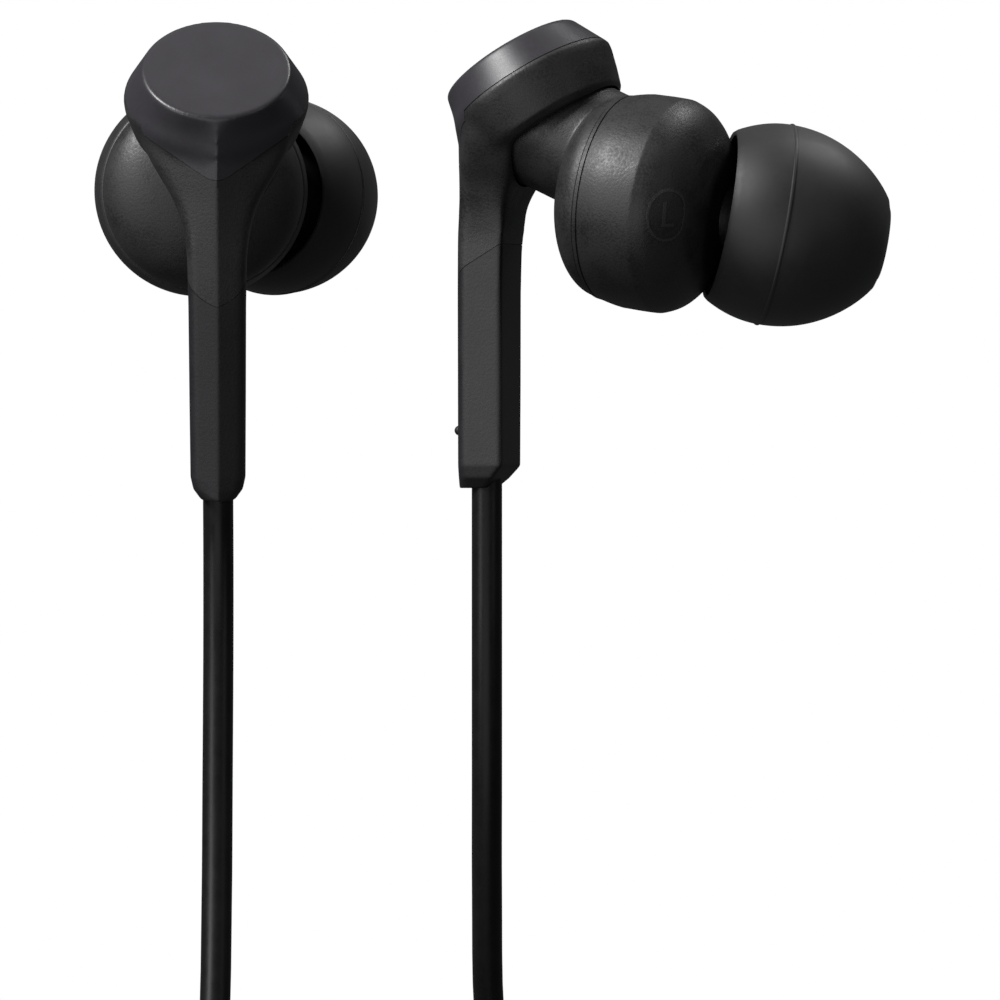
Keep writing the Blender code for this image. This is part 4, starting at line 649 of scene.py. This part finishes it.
# ---------------------------------------------------------------- side marks
# A raised ring with a plain letter inside on each housing's outer slope, L for left and R for
# right: thin mouldings of the housing's own plastic, laid over its curve.
MARK_RADIUS, MARK_LETTER, MARK_THICKNESS, MARK_LIFT = 0.0019, 0.0026, 0.00004, 0.00002
mark_axis = Vector((-0.72, 0.68, -0.12)).normalized()
mark_up = (Vector((0, 0, 1)) - mark_axis * mark_axis.z).normalized()
MARK = Matrix.Translation((-0.00647, 0.01500, 0.01662)) @ Matrix(
    (mark_up.cross(mark_axis), mark_up, mark_axis)).transposed().to_4x4()
mark_black = moulded("mark_black_plastic", (0.036, 0.036, 0.037), (0.05, 0.05, 0.051), (0.34, 0.46), 500, 6000,
                     0.000006, 0.3)
for side, letter in (("left", "L"), ("right", "R")):
    stand = EAR_FRAMES[side] @ MARK
    bpy.ops.mesh.primitive_circle_add(vertices=96, radius=MARK_RADIUS)
    ring = bpy.context.object
    bpy.ops.object.mode_set(mode="EDIT")
    bpy.ops.mesh.select_all(action="SELECT")
    for was, share in ((1, 0.965), (0.965, 0.93), (0.93, 0.89)):
        bpy.ops.mesh.extrude_edges_move()
        bpy.ops.transform.resize(value=(share / was,) * 3, center_override=(0, 0, 0))
    bpy.ops.object.mode_set(mode="OBJECT")
    bpy.ops.object.text_add()
    text = bpy.context.object
    text.data.body = letter
    text.data.align_x, text.data.align_y = "CENTER", "CENTER"
    text.data.size = MARK_LETTER
    text.data.resolution_u = 8
    bpy.ops.object.convert(target="MESH")
    text.location = (0, -0.00001, 0)
    only(text)
    bpy.ops.object.transform_apply()
    if side == "left":
        text.data.transform(Matrix.Diagonal((-1, 1, 1, 1)))
    bpy.ops.object.select_all(action="DESELECT")
    text.select_set(True)
    ring.select_set(True)
    bpy.context.view_layer.objects.active = ring
    bpy.ops.object.join()
    ring.name = f"{side}_side_mark"
    bpy.ops.object.mode_set(mode="EDIT")
    bpy.ops.mesh.select_all(action="SELECT")
    bpy.ops.mesh.quads_convert_to_tris()
    bpy.ops.mesh.subdivide(number_cuts=3)
    bpy.ops.object.mode_set(mode="OBJECT")
    ring.data.transform(Matrix.Translation((0, 0, 0.0008)))
    ring.matrix_world = stand
    bpy.ops.object.transform_apply()
    wrap = ring.modifiers.new("wrap", "SHRINKWRAP")
    wrap.target, wrap.wrap_method, wrap.wrap_mode = housings[side], "NEAREST_SURFACEPOINT", "ABOVE_SURFACE"
    wrap.offset = MARK_LIFT
    bpy.ops.object.modifier_apply(modifier="wrap")
    body = ring.modifiers.new("body", "SOLIDIFY")
    body.thickness, body.offset = MARK_THICKNESS, 0
    bpy.ops.object.modifier_apply(modifier="body")
    bpy.ops.object.mode_set(mode="EDIT")
    bpy.ops.mesh.select_all(action="SELECT")
    bpy.ops.mesh.normals_make_consistent(inside=False)
    bpy.ops.object.mode_set(mode="OBJECT")
    ring.data.materials.clear()
    ring.data.materials.append(mark_black)
    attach(ring, "earphones")

# ---------------------------------------------------------------- guide dot
# One small raised dot near the foot of the left bushing, so that a finger can tell the left side.
bpy.ops.mesh.primitive_uv_sphere_add(segments=32, ring_count=16, radius=0.00032)
dot = bpy.context.object
dot.name = "left_guide_dot"
dot.scale = (1, 1.05, 1)
dot.location = (0, STEM_RIDGE + 0.00002, 0.0036)
bpy.ops.object.transform_apply()
bpy.ops.object.mode_set(mode="EDIT")
select_where(dot, "FACE", lambda place, _: place.y > STEM_RIDGE + 0.00022)
bpy.ops.mesh.delete(type="FACE")
select_where(dot, "VERT", lambda co, _: co.y > STEM_RIDGE + 0.00016)
bpy.ops.mesh.edge_face_add()
bpy.ops.object.mode_set(mode="OBJECT")
bpy.ops.object.shade_smooth_by_angle(angle=math.radians(40))
dot.data.transform(EAR_FRAMES["left"])
dot.data.flip_normals()
dot.data.materials.append(smooth_black)
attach(dot, "earphones")

# ---------------------------------------------------------------- cord tie
# A moulded band that holds the three hanks at their waist: a flat strip with raised edges
# and a row of small cross ribs on its front and back, where it is gripped to open it.
def bordered(name, half_x, half_y, corner, levels, stand):
    """A rounded block drawn level by level: each level is (height, how far its outline grows)."""
    bpy.ops.mesh.primitive_plane_add(size=2)
    piece = bpy.context.object
    piece.name = name
    piece.scale = (half_x, half_y, 1)
    bpy.ops.object.transform_apply()
    bpy.ops.object.mode_set(mode="EDIT")
    bpy.ops.mesh.select_mode(type="VERT")
    bpy.ops.mesh.select_all(action="SELECT")
    bpy.ops.mesh.bevel(offset=corner, segments=12, affect="VERTICES")
    was_height, was_grow = 0, 0
    bpy.ops.mesh.select_all(action="SELECT")
    for index, (height, grow) in enumerate(levels):
        if index:
            bpy.ops.mesh.extrude_region_move(TRANSFORM_OT_translate={"value": (0, 0, height - was_height)})
        else:
            bpy.ops.transform.translate(value=(0, 0, height))
        wider, deeper = (half_x + grow) / (half_x + was_grow), (half_y + grow) / (half_y + was_grow)
        bpy.ops.transform.resize(value=(wider, deeper, 1), center_override=(0, 0, height))
        was_height, was_grow = height, grow
    bpy.ops.mesh.select_all(action="SELECT")
    bpy.ops.mesh.normals_make_consistent(inside=False)
    bpy.ops.object.mode_set(mode="OBJECT")
    piece.location = stand
    only(piece)
    bpy.ops.object.transform_apply()
    return piece


def dressed(piece, finish, nodes, body="earphones", angle=32):
    """Smooths a piece, gives it its finish, hangs it on the body it rides on and hides the nodes it stands in for."""
    only(piece)
    bpy.ops.object.shade_smooth_by_angle(angle=math.radians(angle))
    piece.data.materials.clear()
    piece.data.materials.append(finish)
    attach(piece, body)
    if nodes:
        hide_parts(*nodes)
    return piece


tie_low, tie_high = (Vector(corner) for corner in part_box("cord_tie"))
TIE_MIDDLE, TIE_HALF = (tie_low + tie_high) / 2, (tie_high - tie_low) / 2
TIE_WALL, TIE_RIBS, RIB_PITCH = 0.0008, 9, 0.0008
band_levels = [(-TIE_HALF.z, -0.00022), (-TIE_HALF.z + 0.00008, -0.00006), (-TIE_HALF.z + 0.00025, 0),
               (-TIE_HALF.z + 0.00065, 0), (-TIE_HALF.z + 0.0008, -0.0002), (TIE_HALF.z - 0.0008, -0.0002),
               (TIE_HALF.z - 0.00065, 0), (TIE_HALF.z - 0.00025, 0), (TIE_HALF.z - 0.00008, -0.00006),
               (TIE_HALF.z, -0.00022)]
tie = bordered("cord_tie_band", TIE_HALF.x, TIE_HALF.y, 0.0025, band_levels, TIE_MIDDLE)
inside = bordered("tie_room", TIE_HALF.x - TIE_WALL, TIE_HALF.y - TIE_WALL, 0.0017,
                  [(-2 * TIE_HALF.z, 0), (2 * TIE_HALF.z, 0)], TIE_MIDDLE)
joined(tie, inside, "DIFFERENCE")
bpy.ops.mesh.primitive_cube_add(size=1)
rib = bpy.context.object
rib.dimensions = (0.00035, 0.00042, TIE_HALF.z * 2 - 0.0018)
bpy.ops.object.transform_apply()
bpy.ops.object.mode_set(mode="EDIT")
bpy.ops.mesh.select_all(action="SELECT")
bpy.ops.mesh.bevel(offset=0.00009, segments=3)
bpy.ops.object.mode_set(mode="OBJECT")
ribs = []
for face in (-1, 1):
    for count in range(TIE_RIBS):
        ribs.append(copied(rib, f"tie_rib_{len(ribs)}"))
        ribs[-1].data.transform(Matrix.Translation(
            TIE_MIDDLE + Vector(((count - TIE_RIBS // 2) * RIB_PITCH, face * (TIE_HALF.y - 0.00021), 0))))
bpy.data.objects.remove(rib)
bpy.ops.object.select_all(action="DESELECT")
for made in (*ribs, tie):
    made.select_set(True)
bpy.context.view_layer.objects.active = tie
bpy.ops.object.join()
dressed(tie, smooth_black, ["cord_tie"])

# ---------------------------------------------------------------- slider
# A small two-hole bead that slides up the twin cords: soft oval, waisted in the middle for
# the fingers, with two straight holes.
slider_low, slider_high = (Vector(corner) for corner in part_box("cord_slider"))
slider_middle, slider_half = (slider_low + slider_high) / 2, (slider_high - slider_low) / 2
soft = ((1, -0.0006), (0.97, -0.00032), (0.88, -0.00012), (0.72, 0), (0.52, 0), (0.4, -0.0001), (0.22, -0.0002))
slider_levels = [(-slider_half.z * h, g) for h, g in soft] + [(slider_half.z * h, g) for h, g in reversed(soft)]
slider = bordered("cord_slider_bead", slider_half.x, slider_half.y, slider_half.y * 0.98, slider_levels,
                  slider_middle)
CORD_HOLE = CORD_RADIUS + 0.0001
for x in (-TWIN_SPREAD, TWIN_SPREAD):
    hole = turned("slider_hole", [(0, -0.004), (CORD_HOLE, -0.004), (CORD_HOLE, -0.0021), (CORD_HOLE, 0.0021),
                                  (CORD_HOLE, 0.004), (0, 0.004)],
                  Matrix.Translation(slider_middle + Vector((x, 0, 0))), 64)
    joined(slider, hole, "DIFFERENCE")
dressed(slider, smooth_black, ["cord_slider"], "slider")

# ---------------------------------------------------------------- splitter
# The moulding where two cords become one: a flat oval body with a softened top, narrowing
# to a round strain relief that is notched so that it bends with the cord.
SPLITTER_TOP = FOOT - SPLITTER_DROP
splitter = bordered("cord_splitter_body", 0.0031, 0.0020, 0.00198, [
    (-0.0066, -0.0006), (-0.0060, -0.00035), (-0.0050, -0.00015), (-0.0038, 0), (-0.0007, 0), (-0.0003, -0.00012),
    (-0.0001, -0.0003), (0, -0.0006)], (BUNDLE.x, BUNDLE.y, SPLITTER_TOP))
notches = []
for index in range(5):
    top = -0.0070 - index * 0.00098
    width = 0.00195 - index * 0.00008
    notches += [(width, top), (width, top - 0.00042), (width - 0.0004, top - 0.0005), (width - 0.0004, top - 0.00088)]
relief = turned("splitter_relief", [(0, -0.0055), (0.0021, -0.0055), (0.0021, -0.0066), *notches[:-1],
                                    (0.00165, -0.0118), (0.0015, -SPLITTER_LENGTH), (0, -SPLITTER_LENGTH)],
                Matrix.Translation((BUNDLE.x, BUNDLE.y, SPLITTER_TOP)), 72)
joined(splitter, relief, "UNION")
dressed(splitter, smooth_black, ["cord_splitter"])

# ---------------------------------------------------------------- plug
# A straight stereo plug: a slotted strain relief, a grip with finger rings, and three gold
# contacts parted by black insulators.
relief_low, relief_high = (Vector(corner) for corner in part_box("plug_relief"))
relief_middle = (relief_low + relief_high) / 2
PLUG = Matrix.Translation((relief_middle.x, relief_middle.y, relief_high.z))
slots = []
for index in range(6):
    top = -0.0010 - index * 0.00125
    width = 0.00150 + index * 0.00006
    slots += [(width, top), (width, top - 0.0007), (width - 0.00032, top - 0.0008), (width - 0.00032, top - 0.00115)]
relief = turned("plug_relief_sleeve", [(CORD_HOLE, -0.0006), (CORD_HOLE, 0), (0.0014, 0),
                                       (0.0015, -0.0002), *slots, (0.0019, -0.0085), (0.0019, -0.0090),
                                       (0, -0.0090)], PLUG, 96)
dressed(relief, smooth_black, ["plug_relief"])
grip_profile = [(0, -0.0091), (0.0021, -0.0091), (0.0026, -0.0092), (0.0029, -0.0095), (0.00315, -0.0100),
                (0.0032, -0.0108)]
for index in range(7):
    top = -0.0125 - index * 0.0011
    grip_profile += [(0.0032, top), (0.00318, top - 0.00005), (0.0029, top - 0.0003), (0.0029, top - 0.0005),
                     (0.00318, top - 0.00075), (0.0032, top - 0.0008)]
grip_profile += [(0.0032, -0.0240), (0.00316, -0.0248), (0.0030, -0.0252), (0.0026, -0.02555), (0.0021, -0.0256),
                 (0, -0.0256)]
dressed(turned("plug_grip_body", grip_profile, PLUG, 144), smooth_black, ["plug_grip"])
gold_plate = moulded("gold_plate", (0.78, 0.56, 0.22), (0.86, 0.66, 0.30), (0.14, 0.28), 300, 2500, 0.000002, 0.2,
                     Metallic=1)
insulator_ring = moulded("insulator_ring", (0.014, 0.014, 0.014), (0.022, 0.022, 0.022), (0.32, 0.45), 700, 5000,
                         0.000004, 0.3)
contacts = (
    ("plug_sleeve_contact", gold_plate, "gold_plate", ((0.00175, 0.0256), (0.00175, 0.03198), (0.0017, 0.03205))),
    ("plug_upper_insulator", insulator_ring, "insulator_ring", ((0.00165, 0.0321), (0.00165, 0.0329))),
    ("plug_ring_contact", gold_plate, "gold_plate",
     ((0.0017, 0.03295), (0.00175, 0.0330), (0.00175, 0.0350), (0.0017, 0.03505))),
    ("plug_lower_insulator", insulator_ring, "insulator_ring", ((0.00165, 0.0351), (0.00165, 0.0359))),
    ("plug_tip_contact", gold_plate, "gold_plate",
     ((0.00109, 0.03595), (0.00112, 0.0363), (0.00130, 0.0368), (0.00155, 0.0372), (0.00166, 0.0375),
      (0.00166, 0.0379), (0.0015, 0.0383), (0.0012, 0.03885), (0.0009, 0.0393),
      (0.00062, 0.0396), (0.0003, 0.03978))),
)
POINT = 0.00006
for node, finish, slot, profile in contacts:
    ends = ((0, profile[0][1]), *profile, (0, profile[-1][1] + (POINT if node == "plug_tip_contact" else 0)))
    dressed(turned(node + "_turned", [(radius, -height) for radius, height in ends], PLUG, 96), finish, [node])

# ---------------------------------------------------------------- inside each housing
# The moving-coil driver, its magnet and wires, and the knot that keeps the cord in the
# bushing. None of it shows, and the solids keep their own shape under these finishes.
plated_magnet = moulded("plated_magnet", (0.50, 0.50, 0.51), (0.60, 0.60, 0.61), (0.22, 0.38), 800, 5000,
                        0.000003, 0.3, Metallic=1)
enamelled_copper = moulded("enamelled_copper", (0.50, 0.19, 0.08), (0.66, 0.29, 0.14), (0.25, 0.40), 900, 9000,
                           0.000006, 0.5, Metallic=1)
diaphragm_film = moulded("diaphragm_film", (0.50, 0.42, 0.26), (0.58, 0.50, 0.33), (0.18, 0.30), 1200, 8000,
                         0.000003, 0.3)
terminal_board = moulded("terminal_board", (0.02, 0.12, 0.05), (0.04, 0.18, 0.08), (0.40, 0.55), 1500, 9000,
                         0.000005, 0.4)
for side in ("left", "right"):
    for label, finish in (("driver_basket", screen_steel), ("pole_plate", screen_steel), ("magnet", plated_magnet),
                          ("voice_coil", enamelled_copper), ("lead_wires", enamelled_copper),
                          ("diaphragm", diaphragm_film), ("terminal_board", terminal_board),
                          ("cord_knot", cord_elastomer)):
        bpy.data.objects[f"{side}_{label}"].material_slots[0].material = finish
